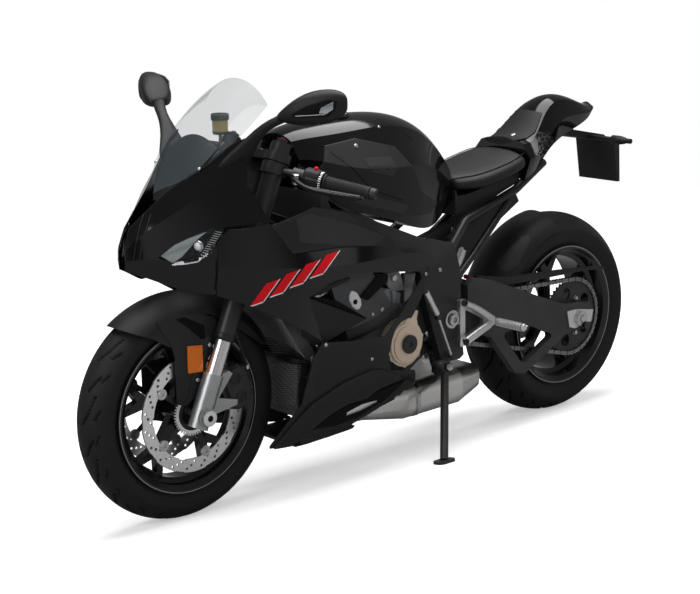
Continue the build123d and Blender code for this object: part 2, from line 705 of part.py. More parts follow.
alternator_at = fitted((785, 388))
clutch_at = fitted((765, 395))
with BuildPart() as alternator_cover:
    add(drum(alternator_at, COVER_RADIUS, CASE_HALF, 184))
    add(body_plate([(740, 400), (724, 470), (748, 478), (790, 452)], CASE_HALF, 172))
    add(drum(alternator_at, 52, 184, 196))
    add(drum(alternator_at, 24, 196, 203))

with BuildPart() as clutch_cover:
    add(drum(clutch_at, CLUTCH_RADIUS, -186, -CASE_HALF))
    add(drum(clutch_at, CLUTCH_RADIUS - 18, -200, -186))
    add(drum(fitted((905, 350)), 46, -182, -CASE_HALF))

with BuildPart() as sprocket_cover:
    add(body_plate([(752, 350), (752, 486), (690, 492), (645, 478), (636, 392), (690, 350)], 121, 123.6))
    add(engine_block.part, mode=Mode.SUBTRACT)

# Coolers ahead of the engine
radiator_foot = fitted_path([(1123, 0, 420)])[0]
radiator_lean = Vector(113, 0, 175).normalized()
with BuildPart() as radiator:
    with BuildSketch(Plane(radiator_foot, x_dir=(0, 1, 0), z_dir=radiator_lean)):
        with BuildLine():
            ThreePointArc((-184, -26), (0, 12), (184, -26))
            Line((184, -26), (184, 6))
            ThreePointArc((184, 6), (0, 44), (-184, 6))
            Line((-184, 6), (-184, -26))
        make_face()
    extrude(amount=186)

with BuildPart() as oil_cooler:
    add(body_plate([(1086, 225), (1118, 225), (1118, 376), (1086, 376)], -112, 112))

# Exhaust: four headers, the silencer box below the engine and the right-hand end can
header_rows = (-129, -43, 43, 129)
header_stretch = min((fitted((FRONT_GROUP, 0))[0] - REAR_GROUP) / (FRONT_GROUP - REAR_GROUP), 1)
with BuildPart() as exhaust_headers:
    for row in header_rows:
        header = pipe(
            fitted_path([(1036, row, 575), (1086, row, 556), (1040, row * 0.66, 322), (932, row * 0.3, 178),
                         (880.3, row * 0.3, 178)]),
            [bend * header_stretch for bend in (34, 60, 40)],
            18,
        )
        add(header)
    add(engine_block.part, mode=Mode.SUBTRACT)

silencer_stations = ((880, 60, 150, 205), (700, 105, 124, 226), (480, 108, 128, 236), (380, 80, 152, 226))
with BuildPart() as exhaust_silencer:
    for x, half, drawn_low, drawn_high in silencer_stations:
        along, low = fitted((x, drawn_low))
        high = fitted((x, drawn_high))[1]
        with BuildSketch(Plane.YZ.offset(along)):
            with Locations((0, (low + high) / 2)):
                RectangleRounded(2 * half, high - low, min(half, high - low) * 0.35)
    loft(ruled=True)

can_root, can_end = fitted_path([(372, -200, 232), (130, -230, 340)])
with BuildPart() as exhaust_can:
    add(pipe([*fitted_path([(440, -60, 190), (426, -150, 194)]), can_root], [26], 25))
    add(rod(can_root, can_end, 50))
    add(exhaust_silencer.part, mode=Mode.SUBTRACT)

# Bodywork sections from the nose back: x, then (half width, height) from the foot up
nose_table = (
    (1594, ((14, 694), (18, 716), (16, 742), (9, 772))),
    (1540, ((46, 668), (62, 722), (48, 796), (20, 838))),
    (1470, ((104, 636), (132, 728), (98, 850), (52, 893))),
    (1400, ((166, 618), (186, 764), (140, 900), (96, 950))),
    (1296, ((226, 628), (234, 806), (196, 916), (148, 1014))),
)
side_table = (
    (PANEL_SPLIT, ((110, 470), (158, 612), (172, 700), (168, 800))),
    (1300, ((200, 440), (226, 600), (240, 690), (234, 806))),
    (1150, ((212, 420), (238, 600), (242, 668), (212, 830))),
    (950, ((190, 520), (212, 596), (214, 652), (192, 800))),
    (640, ((174, 550), (180, 572), (180, 616), (165, 680))),
)
lower_table = (
    (1270, ((160, 168), (168, 190), (190, 290), (222, 440), (234, 520))),
    (1100, ((100, 140), (160, 190), (196, 300), (220, 440), (230, 520))),
    (840, ((84, 150), (140, 210), (184, 300), (202, 400), (200, 520))),
    (680, ((78, 200), (120, 232), (160, 280), (182, 400), (182, 620))),
)
nose_outer = hull(nose_table)
nose_inner = hull(nose_table, PANEL)
nose_outline = body_plate(
    [(1600, 694), (1596, 745), (1575, 800), (1500, 868), (1452, 908), (1370, 1000), (1300, 1016), (1330, 900),
     (1298, 812), (1398, 800), (PANEL_SPLIT + 0.2, 764), (PANEL_SPLIT + 0.2, 625), (1498, 642)],
    0,
    260,
)
LAMP = [(1532, 727), (1470, 758), (1412, 792), (1398, 790), (1444, 726), (1500, 709)]
lamp_outline = body_plate(LAMP, 0, 240)
with BuildPart() as nose_fairing:
    add(nose_outer)
    add(nose_inner, mode=Mode.SUBTRACT)
    add(nose_outline, mode=Mode.INTERSECT)
    add(lamp_outline, mode=Mode.SUBTRACT)
    mirror(about=Plane.XZ)

side_outer = hull(side_table)
side_inner = hull(side_table, PANEL)
side_outline = body_plate(
    [(PANEL_SPLIT - 0.2, 625), (PANEL_SPLIT - 0.2, 764), (1398, 798), (1298, 804), (1230, 716), (1060, 706), (900, 684), (800, 652), (690, 634),
     (668, 606), (748, 590), (1011, 630), (1110, 618), (1180, 596), (1120, 462), (1180, 500), (1345, 592)],
    0,
    260,
)
with BuildPart() as side_fairings:
    add(side_outer)
    add(side_inner, mode=Mode.SUBTRACT)
    add(side_outline, mode=Mode.INTERSECT)
    mirror(about=Plane.XZ)

cover_outline = body_plate(
    [(1296, 798), (1232, 718), (1060, 708), (900, 686), (815, 656), (850, 700), (1010, 790), (1130, 822)], 0, 260
)
with BuildPart() as side_covers:
    add(side_outer)
    add(side_inner, mode=Mode.SUBTRACT)
    add(cover_outline, mode=Mode.INTERSECT)
    add(side_outline, mode=Mode.SUBTRACT)
    mirror(about=Plane.XZ)

lower_outer = hull(lower_table)
lower_inner = hull(lower_table, PANEL)
lower_outline = body_plate(
    [(1120, 458), (1150, 420), (1175, 290), (1266, 190), (1262, 182), (1015, 146), (700, 246), (716, 262), (740, 300),
     (846, 322), (868, 372), (790, 440), (752, 478), (674, 576), (690, 592), (772, 520), (806, 486), (880, 430),
     (1000, 440)],
    60,
    260,
)
with BuildPart() as lower_fairings:
    add(lower_outer)
    add(lower_inner, mode=Mode.SUBTRACT)
    add(lower_outline, mode=Mode.INTERSECT)
    mirror(about=Plane.XZ)
    add(drum(alternator_at, COVER_RADIUS + COVER_GAP, 0, 300), mode=Mode.SUBTRACT)
    add(drum(clutch_at, CLUTCH_RADIUS + COVER_GAP, -300, 0), mode=Mode.SUBTRACT)
    add(side_fairings.part, mode=Mode.SUBTRACT)

belly_strip = body_plate([(1130, 152), (1130, 143), (1100, 138), (900, 140), (900, 152), (1100, 145)], -130, 130)
with BuildPart() as belly_pan:
    add(both(lower_outer))
    add(belly_strip, mode=Mode.INTERSECT)
    add(lower_fairings.part, mode=Mode.SUBTRACT)

# Pins that hold the coolers and the lower panels
with BuildPart() as side_pins:
    add(drum(fitted((1202, 526)), 4, 176, 260))
    add(side_inner, mode=Mode.INTERSECT)
with BuildPart() as lower_pins:
    add(drum(fitted((1102, 340)), 4, 108, 260))
    add(drum(fitted((975, 400)), 6, CASE_HALF, 260))
    add(drum(fitted((880, 290)), 6, CASE_HALF, 260))
    add(lower_inner, mode=Mode.INTERSECT)
with BuildPart() as panel_pins:
    add(side_pins.part)
    add(lower_pins.part)
    mirror(about=Plane.XZ)
    add(radiator.part, mode=Mode.SUBTRACT)
    add(oil_cooler.part, mode=Mode.SUBTRACT)
    add(clutch_cover.part, mode=Mode.SUBTRACT)
    add(alternator_cover.part, mode=Mode.SUBTRACT)

# Headlamps set in the nose below its brow, each a block inside the panel's inner face
lamp_front = fitted((1545, 690))
lamp_rear = fitted((1390, 690))
with BuildPart() as lamp_zone:
    with BuildSketch(Plane.XY.offset(lamp_front[1])):
        Polygon((lamp_front[0], 18), (lamp_front[0], 260), (lamp_rear[0], 260), (lamp_rear[0], 128), align=None)
    extrude(amount=120)
with BuildPart() as left_lamp:
    add(nose_inner)
    add(lamp_outline, mode=Mode.INTERSECT)
    add(lamp_zone.part, mode=Mode.INTERSECT)
    add(side_fairings.part, mode=Mode.SUBTRACT)
with BuildPart() as headlamps:
    add(left_lamp.part)
    mirror(about=Plane.XZ)

# Stay that carries the nose and lamps from the steering head
stay_root = on_steering((head_low + head_high) / 2)
stay_end = fitted_path([(1420, 0, 752)])[0]
with BuildPart() as fairing_stay:
    add(rod((stay_root[0] + 20, 0, stay_root[2]), stay_end, 14))
    add(drum((stay_end[0] + 5, stay_end[2]), 9, -165, 165))
    add(main_frame.part, mode=Mode.SUBTRACT)
    add(rod(on_steering(head_low), on_steering(head_high), HEAD_TUBE_RADIUS), mode=Mode.SUBTRACT)
    add(headlamps.part, mode=Mode.SUBTRACT)
    add(nose_fairing.part, mode=Mode.SUBTRACT)

# Windscreen: a curved clear sheet from the nose up to the rider's line of sight
screen_table = (
    (1490, 878, 6, 870),
    (1420, 955, 92, 934),
    (1330, 1062, 138, 1010),
    (1215, 1151, 130, 1092),
)


def screen_body(drop):
    """The solid under the screen's outer face, lowered by a wall's thickness."""
    with BuildPart() as made:
        for x, drawn_crown, half, drawn_edge in screen_table:
            along, crown = fitted((x, drawn_crown))
            edge = fitted((x, drawn_edge))[1]
            with BuildSketch(Plane.YZ.offset(along)):
                with BuildLine():
                    ThreePointArc((-half, edge - drop), (0, crown - drop), (half, edge - drop))
                    Polyline((half, edge - drop), (half, edge - drop - 60), (-half, edge - drop - 60),
                             (-half, edge - drop))
                make_face()
        loft()
    return made.part


screen_solid = screen_body(0)
screen_under = screen_body(PANEL)
with BuildPart() as windscreen:
    add(screen_solid)
    add(screen_under, mode=Mode.SUBTRACT)
    add(both(nose_outer), mode=Mode.SUBTRACT)

# Mirrors on stalks from the nose
# Head sections across: y, then the middle's x and z, half depth and half height
mirror_table = (
    (262, 1306, 1060, 12, 10),
    (310, 1276, 1082, 25, 32),
    (392, 1240, 1107, 25, 42),
    (432, 1214, 1113, 12, 22),
)
mirror_arm = pipe(fitted_path([(1362, 132, 936), (1338, 205, 1020), (1296, 280, 1068)]), [60], 12)
with BuildPart() as mirror_head:
    for y, drawn_x, drawn_z, deep, high in mirror_table:
        x, z = fitted((drawn_x, drawn_z))
        with BuildSketch(at_side(y)):
            Polygon((x + deep, z - high * 0.4), (x + deep * 0.7, z + high * 0.6), (x, z + high),
                    (x - deep, z + high * 0.7), (x - deep, z - high * 0.7), (x, z - high), align=None)
    loft(ruled=True)
with BuildPart() as mirrors:
    add(mirror_arm)
    add(mirror_head.part)
    add(nose_outer, mode=Mode.SUBTRACT)
    mirror(about=Plane.XZ)

# Tank and its side covers
tank_table = (
    (1086, 994, (66, 976), (96, 930), (90, 872)),
    (1020, 1014, (92, 985), (142, 920), (128, 800)),
    (860, 1026, (98, 992), (178, 890), (160, 758)),
    (690, 1012, (90, 980), (158, 880), (150, 700)),
    (570, 955, (76, 920), (112, 840), (104, 708)),
    (484, 850, (58, 836), (70, 800), (66, 740)),
)
cover_table = tuple(
    (x, crown + PANEL, (shoulder[0] + PANEL, shoulder[1] + PANEL), (waist[0] + PANEL, waist[1]), (foot[0] + PANEL, foot[1] - 1))
    for x, crown, shoulder, waist, foot in tank_table
)
tank_body = crowned(tank_table)
tank_jacket = crowned(cover_table)
with BuildPart() as fuel_tank:
    add(tank_body)
    add(main_frame.part, mode=Mode.SUBTRACT)

pad_outline = body_plate(
    [(1060, 880), (1010, 962), (900, 972), (780, 940), (690, 800), (600, 760), (640, 735), (780, 745), (905, 762), (1000, 810)],
    60,
    260,
)
with BuildPart() as tank_pads:
    add(tank_jacket)
    add(tank_body, mode=Mode.SUBTRACT)
    add(pad_outline, mode=Mode.INTERSECT)
    mirror(about=Plane.XZ)
    add(main_frame.part, mode=Mode.SUBTRACT)

# Seat and tail
seat_table = (
    (476, 816, (62, 808), (84, 786), (72, 756)),
    (400, 826, (96, 816), (126, 790), (118, 762)),
    (300, 850, (108, 838), (134, 812), (124, 786)),
    (206, 872, (100, 858), (124, 838), (112, 812)),
)
with BuildPart() as rider_seat:
    add(crowned(seat_table))

# Seat base over the subframe's rails
seat_base = body_plate([(480, 772), (380, 780), (206, 830), (206, 770), (360, 720), (480, 700)], -78, 78)
with BuildPart() as seat_pan:
    add(seat_base)
    add(rider_seat.part, mode=Mode.SUBTRACT)
    add(subframe.part, mode=Mode.SUBTRACT)
    add(fuel_tank.part, mode=Mode.SUBTRACT)

tail_table = (
    (204, 900, (84, 886), (122, 842), (100, 778)),
    (120, 930, (76, 918), (112, 880), (86, 818)),
    (60, 985, (58, 972), (92, 920), (72, 856)),
    (-100, 992, (44, 980), (64, 948), (52, 912)),
    (-190, 974, (16, 968), (30, 960), (24, 952)),
)
with BuildPart() as tail_fairing:
    add(crowned(tail_table))
    add(subframe.part, mode=Mode.SUBTRACT)

indicator_at = fitted((-176, 864))
with BuildPart() as plate_bracket:
    add(body_plate([(-50, 930), (-30, 890), (-60, 880), (-236, 846), (-262, 850), (-240, 866), (-90, 896), (-90, 930)],
              -34, 34))
    add(body_plate([(-262, 850), (-236, 846), (-256, 716), (-268, 716)], -80, 80))
    add(drum(indicator_at, 8, -196, 196))
    add(tail_fairing.part, mode=Mode.SUBTRACT)

with BuildPart() as rear_indicators:
    for low, high in ((196, 236), (-236, -196)):
        add(drum(indicator_at, 15, low, high))

# Mudguard close over the rear tyre, carried by the swingarm
hugger_inner = REAR_TYRE_RADIUS + 12
with BuildPart() as hugger_ring:
    with BuildSketch(Plane(rear_axle_at, x_dir=(0, 1, 0), z_dir=(1, 0, 0))):
        with BuildLine():
            ThreePointArc((-100, hugger_inner - 52), (0, hugger_inner + PANEL), (100, hugger_inner - 52))
            Line((100, hugger_inner - 52), (97, hugger_inner - 52))
            ThreePointArc((97, hugger_inner - 52), (0, hugger_inner), (-97, hugger_inner - 52))
            Line((-97, hugger_inner - 52), (-100, hugger_inner - 52))
        make_face()
    revolve(axis=Axis(rear_axle_at, (0, 1, 0)))
hugger_drawn = [(0, 320), (60, 720), (300, 700), (420, 505), (330, 470)]
hugger_outline = plate(
    round_wheel(hugger_drawn, 0, DRAWN_REAR_RADIUS, rear_axle_at, REAR_TYRE_RADIUS), -110, 110
)
with BuildPart() as rear_hugger:
    add(hugger_ring.part)
    add(hugger_outline, mode=Mode.INTERSECT)

with BuildPart() as chain_guard:
    add(body_plate([(430, 516), (300, 492), (60, 478), (-140, 462), (-152, 450), (-60, 460), (200, 466), (430, 476)],
              105, CHAIN_SIDE + 13))

with BuildPart() as rear_shock:
    add(rod(*fitted_path([(424, 0, 392), (424, 0, 560)]), 34))
    add(rod(*fitted_path([(424, 0, 360), (424, 0, 650)]), 14))
    add(main_frame.part, mode=Mode.SUBTRACT)
    add(swingarm.part, mode=Mode.SUBTRACT)

# Rider's footrests on open brackets
rest_bracket = body_plate([(548, 470), (528, 470), (420, 402), (400, 384), (418, 366), (520, 330), (548, 330)], PLATE_OUTER, 166, 4)
rest_window = body_plate([(528, 440), (452, 398), (452, 384), (528, 356)], PLATE_OUTER - 1, 170, 3)
with BuildPart() as footrests:
    add(rest_bracket)
    add(rest_window, mode=Mode.SUBTRACT)
    add(drum((412, 386), 11, 166, 290))
    mirror(about=Plane.XZ)

with BuildPart() as rear_caliper:
    with BuildSketch(Plane(rear_axle_at, x_dir=(1, 0, 0), z_dir=(0, -1, 0)).offset(REAR_DISC_SIDE - 12)):
        with PolarLocations(0, 1, start_angle=32):
            Polygon((70, -32), (96, -44), (122, -36), (128, 0), (122, 36), (96, 44), (70, 32), align=None)
    extrude(amount=32.7)
    add(drum((0, REAR_TYRE_RADIUS), REAR_DISC_RADIUS + 3, rear_disc_low - 2, -REAR_DISC_SIDE + 2), mode=Mode.SUBTRACT)

# Side stand, out at rest, ahead of and outside its pivot
front_c = crown_radius(FRONT_TYRE_HALF - 1.5, FRONT_CROWN_DROP)
rear_c = crown_radius(REAR_TYRE_HALF - 1.5, REAR_CROWN_DROP)
tilt_c, tilt_s = cos(radians(LEAN)), sin(radians(LEAN))
front_rise = (FRONT_TYRE_RADIUS - front_c) * tilt_c + front_c
rear_rise = (REAR_TYRE_RADIUS - rear_c) * tilt_c + rear_c
nose_up = (front_rise - rear_rise - (FRONT_TYRE_RADIUS - REAR_TYRE_RADIUS) * tilt_c) / WHEELBASE
ground_at = REAR_TYRE_RADIUS * tilt_c - rear_rise


def floor_under(x, y):
    """The height of the floor, seen from the upright bike, once it leans."""
    return (ground_at + y * tilt_s - x * nose_up) / tilt_c


foot_x = STAND_PIVOT[0] + STAND_REACH_FORWARD
foot_y = STAND_PIVOT[1] + STAND_REACH_OUT
foot_floor = floor_under(foot_x, foot_y)
hinge_dir = Vector(0, cos(radians(STAND_AXIS_TILT)), sin(radians(STAND_AXIS_TILT)))
floor_up = Vector(nose_up, -tilt_s, tilt_c).normalized()
foot_at = Vector(foot_x, foot_y, foot_floor)
leg_end = foot_at + floor_up * (STAND_RADIUS * 0.6)
with BuildPart() as stand_foot:
    with BuildSketch(Plane(foot_at, x_dir=(1, 0, 0), z_dir=floor_up)):
        RectangleRounded(62, 44, 16)
    extrude(amount=8)


def on_hinge(distance):
    """A point on the stand's hinge pin, outward from its middle."""
    return tuple(Vector(*STAND_PIVOT) + hinge_dir * distance)


stand_eye = rod(on_hinge(-12), on_hinge(12), 21)
stand_hole = rod(on_hinge(-22), on_hinge(22), 8 + RUNNING)
with BuildPart() as side_stand:
    add(rod(STAND_PIVOT, tuple(leg_end), STAND_RADIUS))
    add(stand_eye)
    add(stand_foot.part)
    add(stand_hole, mode=Mode.SUBTRACT)

with BuildPart() as stand_bracket:
    add(rod(on_hinge(-22), on_hinge(16), 8))
    add(rod(on_hinge(-31), on_hinge(-13), 20))
    add(body_plate([(548, 332), (604, 332), (604, 292), (592, 262), (592, 246), (558, 246), (558, 262), (548, 292)], 90, 101))
    add(body_plate([(548, 330), (604, 330), (604, 298), (548, 298)], 101, PLATE_INNER))

pieces = {
    "front_tyre": front_tyre, "front_rim": front_rim, "front_discs": front_discs, "front_axle": front_axle,
    "rear_tyre": rear_tyre, "rear_rim": rear_rim, "rear_disc": rear_disc, "rear_sprocket": rear_sprocket,
    "rear_axle": rear_axle, "fork_sliders": fork_sliders, "fork_uppers": fork_uppers,
    "fork_lowers": fork_lowers, "front_calipers": front_calipers, "fork_clamps": fork_clamps,
    "handlebars": handlebars, "hand_grips": hand_grips, "control_levers": control_levers,
    "brake_reservoir": brake_reservoir, "front_fender": front_fender, "main_frame": main_frame,
    "subframe": subframe, "swingarm": swingarm, "drive_chain": drive_chain, "engine_block": engine_block,
    "alternator_cover": alternator_cover, "clutch_cover": clutch_cover, "sprocket_cover": sprocket_cover,
    "radiator": radiator, "oil_cooler": oil_cooler, "exhaust_headers": exhaust_headers,
    "exhaust_silencer": exhaust_silencer, "exhaust_can": exhaust_can, "nose_fairing": nose_fairing,
    "side_fairings": side_fairings, "side_covers": side_covers, "lower_fairings": lower_fairings,
    "headlamps": headlamps, "fairing_stay": fairing_stay, "belly_pan": belly_pan, "panel_pins": panel_pins,
    "seat_pan": seat_pan, "windscreen": windscreen, "mirrors": mirrors, "fuel_tank": fuel_tank,
    "tank_pads": tank_pads, "rider_seat": rider_seat, "tail_fairing": tail_fairing,
    "plate_bracket": plate_bracket, "rear_indicators": rear_indicators, "rear_hugger": rear_hugger,
    "chain_guard": chain_guard, "rear_shock": rear_shock, "footrests": footrests,
    "rear_caliper": rear_caliper, "side_stand": side_stand, "stand_bracket": stand_bracket,
}

# Park it: stand the leaned bike on its tyres and stand foot, then centre the whole over the origin
floor_plane = Plane((0, 0, 0), x_dir=(1, 0, -nose_up / tilt_c), z_dir=floor_up)
lean_over = floor_plane.location.inverse()
parked = {name: lean_over * piece.part for name, piece in pieces.items()}
boxes = [shape.bounding_box() for shape in parked.values()]
low_corner = [min(getattr(box.min, axis) for box in boxes) for axis in "XYZ"]
high_corner = [max(getattr(box.max, axis) for box in boxes) for axis in "XYZ"]
middle = [(low + high) / 2 for low, high in zip(low_corner, high_corner)]
centre = Location((-middle[0], -middle[1], -low_corner[2]))

os.makedirs("parts", exist_ok=True)
for name, shape in parked.items():
    shape = centre * shape
    shape.label = name
    export_step(shape, f"parts/{name}.step")
print("size", [round(high - low, 1) for low, high in zip(low_corner, high_corner)])


def parked_point(point):
    """Where a point of the upright bike lies once it is parked, in metres."""
    moved = (centre * lean_over * Location(tuple(point))).position
    return [round(value / 1000, 6) for value in moved]


for label, point in {
    "rear axle": rear_axle_at, "rear left": (0, 1000, REAR_TYRE_RADIUS), "front axle": front_axle_at,
    "steering": on_steering(0), "steering up": on_steering(1000), "stand": STAND_PIVOT,
    "stand out": on_hinge(1000), "spool left": (spool_at[0], CHAIN_SIDE + 39, spool_at[1]),
    "spool right": (spool_at[0], -REAR_DISC_SIDE - 47, spool_at[1]), "seat": (340, 0, 846),
    "foot": leg_end, "bike origin": (0, 0, 0), "bike x": (1000, 0, 0), "bike z": (0, 0, 1000),
}.items():
    print("point", label, parked_point(point))
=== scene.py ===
"""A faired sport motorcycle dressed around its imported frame.

Lengths are millimetres of the upright bike (x forward from the rear axle, y to the rider's left,
z up from the ground) unless a name says metres. BikeFrame carries them into the parked frame.
"""
import json
import logging
import math
from dataclasses import dataclass, field
from enum import Enum

import bmesh
import bpy
import numpy as np
from mathutils import Matrix, Vector
from mathutils.bvhtree import BVHTree
from mathutils.geometry import tessellate_polygon


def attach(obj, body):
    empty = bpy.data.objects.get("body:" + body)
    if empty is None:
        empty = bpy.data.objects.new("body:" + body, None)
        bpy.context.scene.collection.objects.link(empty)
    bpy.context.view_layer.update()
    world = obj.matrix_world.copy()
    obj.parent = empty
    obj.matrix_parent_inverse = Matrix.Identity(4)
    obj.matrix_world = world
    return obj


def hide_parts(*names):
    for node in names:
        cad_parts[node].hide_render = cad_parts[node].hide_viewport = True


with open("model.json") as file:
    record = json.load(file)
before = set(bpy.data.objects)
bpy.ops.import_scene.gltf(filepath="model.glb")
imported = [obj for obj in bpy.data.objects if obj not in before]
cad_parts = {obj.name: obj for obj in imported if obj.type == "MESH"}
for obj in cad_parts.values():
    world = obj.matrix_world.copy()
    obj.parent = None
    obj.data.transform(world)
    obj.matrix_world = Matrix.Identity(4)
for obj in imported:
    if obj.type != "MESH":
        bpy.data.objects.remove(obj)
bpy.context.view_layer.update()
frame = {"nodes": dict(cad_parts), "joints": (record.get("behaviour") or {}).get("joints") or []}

log = logging.getLogger("motorcycle")

MILLIMETRE = 0.001
WHEELBASE = 1441.0
FRONT_RADIUS = 300.0
REAR_RADIUS = 320.0
LEFT = Vector((0, 1, 0))
UP = Vector((0, 0, 1))

Point = tuple[float, float, float]
Flat = tuple[float, float]


@dataclass(frozen=True)
class BikeFrame:
    """Carries points of the upright bike into the parked row frame."""

    matrix: Matrix

    @classmethod
    def parked(cls, joints: list[dict]) -> "BikeFrame":
        """Finds the lean and place of the bike from its two wheel joints.

        Args:
            joints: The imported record's joints.

        Returns:
            The frame that takes upright millimetres to parked metres.
        """
        spin = {joint["name"]: joint for joint in joints}
        rear = Vector(spin["rear_wheel_spin"]["pos_m"])
        front = Vector(spin["front_wheel_spin"]["pos_m"])
        left = Vector(spin["rear_wheel_spin"]["axis"]).normalized()
        along = (front - rear).normalized()
        across = along.cross(left)
        dip = math.atan2(REAR_RADIUS - FRONT_RADIUS, WHEELBASE)
        forward = along * math.cos(dip) + across * math.sin(dip)
        up = across * math.cos(dip) - along * math.sin(dip)
        origin = rear - up * REAR_RADIUS * MILLIMETRE
        rows = Matrix((forward * MILLIMETRE, left * MILLIMETRE, up * MILLIMETRE)).transposed().to_4x4()
        return cls(Matrix.Translation(origin) @ rows)

    def out(self, point: Vector | Point) -> Vector:
        """The parked place, in metres, of an upright point."""
        return self.matrix @ Vector(point)

    def turn(self, direction: Vector | Point) -> Vector:
        """The parked direction of an upright one."""
        return (self.matrix.to_3x3() @ Vector(direction)).normalized()


BIKE = BikeFrame.parked(frame["joints"])


# ---------------------------------------------------------------- camera and its rays


@dataclass(frozen=True)
class PhotoCamera:
    """The camera that took the picture, in the upright bike's millimetres."""

    place: Point = (3825.66, 3408.88, 1540.86)
    yaw: float = -2.29206327
    pitch: float = -0.22561439
    roll: float = -0.01597894
    focal_pixels: float = 1628.60
    width: int = 700
    height: int = 594
    sensor: float = 36.0
    far_clip: float = 100.0

    def axes(self) -> tuple[Vector, Vector, Vector]:
        """The camera's right, up and viewing directions."""
        level = math.cos(self.pitch)
        view = Vector((level * math.cos(self.yaw), level * math.sin(self.yaw), math.sin(self.pitch)))
        right = view.cross(UP).normalized()
        up = right.cross(view)
        turned = right * math.cos(self.roll) + up * math.sin(self.roll)
        raised = up * math.cos(self.roll) - right * math.sin(self.roll)
        return turned, raised, view

    def ray(self, pixel: Flat) -> Vector:
        """The direction from the camera through a pixel."""
        right, up, view = self.axes()
        across = (pixel[0] - self.width / 2) / self.focal_pixels
        rise = (self.height / 2 - pixel[1]) / self.focal_pixels
        return (view + right * across + up * rise).normalized()

    def on_side(self, pixel: Flat, y: float) -> Vector:
        """The point seen at a pixel, at a distance to the left of the bike's middle."""
        direction = self.ray(pixel)
        start = Vector(self.place)
        return start + direction * ((y - start.y) / direction.y)

    def make(self) -> None:
        """Adds the camera, which leans with the parked bike."""
        data = bpy.data.cameras.new("photo_camera")
        data.sensor_width = self.sensor
        data.lens = self.focal_pixels * self.sensor / self.width
        data.clip_end = self.far_clip
        camera = bpy.data.objects.new("photo_camera", data)
        bpy.context.scene.collection.objects.link(camera)
        right, up, view = (BIKE.turn(axis) for axis in self.axes())
        rows = Matrix((right, up, -view)).transposed().to_4x4()
        camera.matrix_world = Matrix.Translation(BIKE.out(self.place)) @ rows
        bpy.context.scene.camera = camera


CAMERA = PhotoCamera()


# ---------------------------------------------------------------- shapes


@dataclass
class Shape:
    """Corners in upright millimetres and the faces that join them."""

    points: list[Vector] = field(default_factory=list)
    faces: list[tuple[int, ...]] = field(default_factory=list)

    def add(self, other: "Shape") -> "Shape":
        """Appends another shape and returns this one."""
        start = len(self.points)
        self.points += other.points
        self.faces += [tuple(index + start for index in face) for face in other.faces]
        return self

    def mirrored(self) -> "Shape":
        """The same shape on the bike's other side."""
        points = [Vector((point.x, -point.y, point.z)) for point in self.points]
        return Shape(points, [tuple(reversed(face)) for face in self.faces])

    def both(self) -> "Shape":
        """The shape together with its mirror image."""
        return Shape(list(self.points), list(self.faces)).add(self.mirrored())


def rings(loops: list[list[Vector]], closed: bool = False, capped: bool = True) -> Shape:
    """Joins loops of equal count into a skin.

    Args:
        loops: Rings of points in order.
        closed: Whether the last ring joins the first.
        capped: Whether the two end rings get a face.

    Returns:
        The skin.
    """
    count = len(loops[0])
    shape = Shape([point for loop in loops for point in loop])
    last = len(loops) if closed else len(loops) - 1
    for row in range(last):
        start, after = row * count, (row + 1) % len(loops) * count
        for column in range(count):
            beside = (column + 1) % count
            shape.faces.append((start + column, start + beside, after + beside, after + column))
    if capped and not closed:
        shape.faces.append(tuple(reversed(range(count))))
        shape.faces.append(tuple(range(len(shape.points) - count, len(shape.points))))
    return shape


def turns(count: int, shift: float = 0.0) -> list[float]:
    """Angles of equal steps round a circle, in radians.

    Args:
        count: How many steps there are.
        shift: Where the first one lies, in steps.

    Returns:
        The angles.
    """
    return [2 * math.pi * (step + shift) / count for step in range(count)]


def on_circle(centre: Flat, radius: float, angle: float) -> Flat:
    """The point at an angle on a circle."""
    return centre[0] + radius * math.cos(angle), centre[1] + radius * math.sin(angle)


def on_wheel(centre: Flat, radius: float, angle: float, y: float) -> Vector:
    """The point at an angle on a circle in side view, at a distance to the left."""
    x, z = on_circle(centre, radius, angle)
    return Vector((x, y, z))


def squared(value: float, power: float) -> float:
    """A sine or cosine drawn towards 1, which squares up a round section."""
    return math.copysign(abs(value) ** power, value)


def lathe(profile: list[Flat], centre: Flat, steps: int = 96) -> Shape:
    """Turns a closed profile of (across, radius) points about an axle at (x, z)."""
    loops = [[on_wheel(centre, radius, angle, y) for y, radius in profile] for angle in turns(steps)]
    return rings(loops, closed=True)


def spun(profile: list[Flat], start: Vector, axis: Vector, steps: int = 32) -> Shape:
    """Turns an open profile of (along, radius) points about any axis, with capped ends."""
    along = axis.normalized()
    side = along.orthogonal().normalized()
    third = along.cross(side)
    loops = []
    for distance, radius in profile:
        centre = start + along * distance
        loops.append([centre + side * radius * math.cos(angle) + third * radius * math.sin(angle)
                      for angle in turns(steps)])
    return rings(loops)


def smooth_path(points: list[Point | Vector], per_run: int = 8) -> list[Vector]:
    """Points along a Catmull-Rom curve through the given ones."""
    knots = [Vector(point) for point in points]
    knots = [knots[0] * 2 - knots[1], *knots, knots[-1] * 2 - knots[-2]]
    path = []
    for index in range(1, len(knots) - 2):
        a, b, c, d = knots[index - 1:index + 3]
        for step in range(per_run):
            t = step / per_run
            path.append(0.5 * (b * 2 + (c - a) * t + (a * 2 - b * 5 + c * 4 - d) * t * t
                               + (b * 3 - a - c * 3 + d) * t ** 3))
    path.append(knots[-2])
    return path


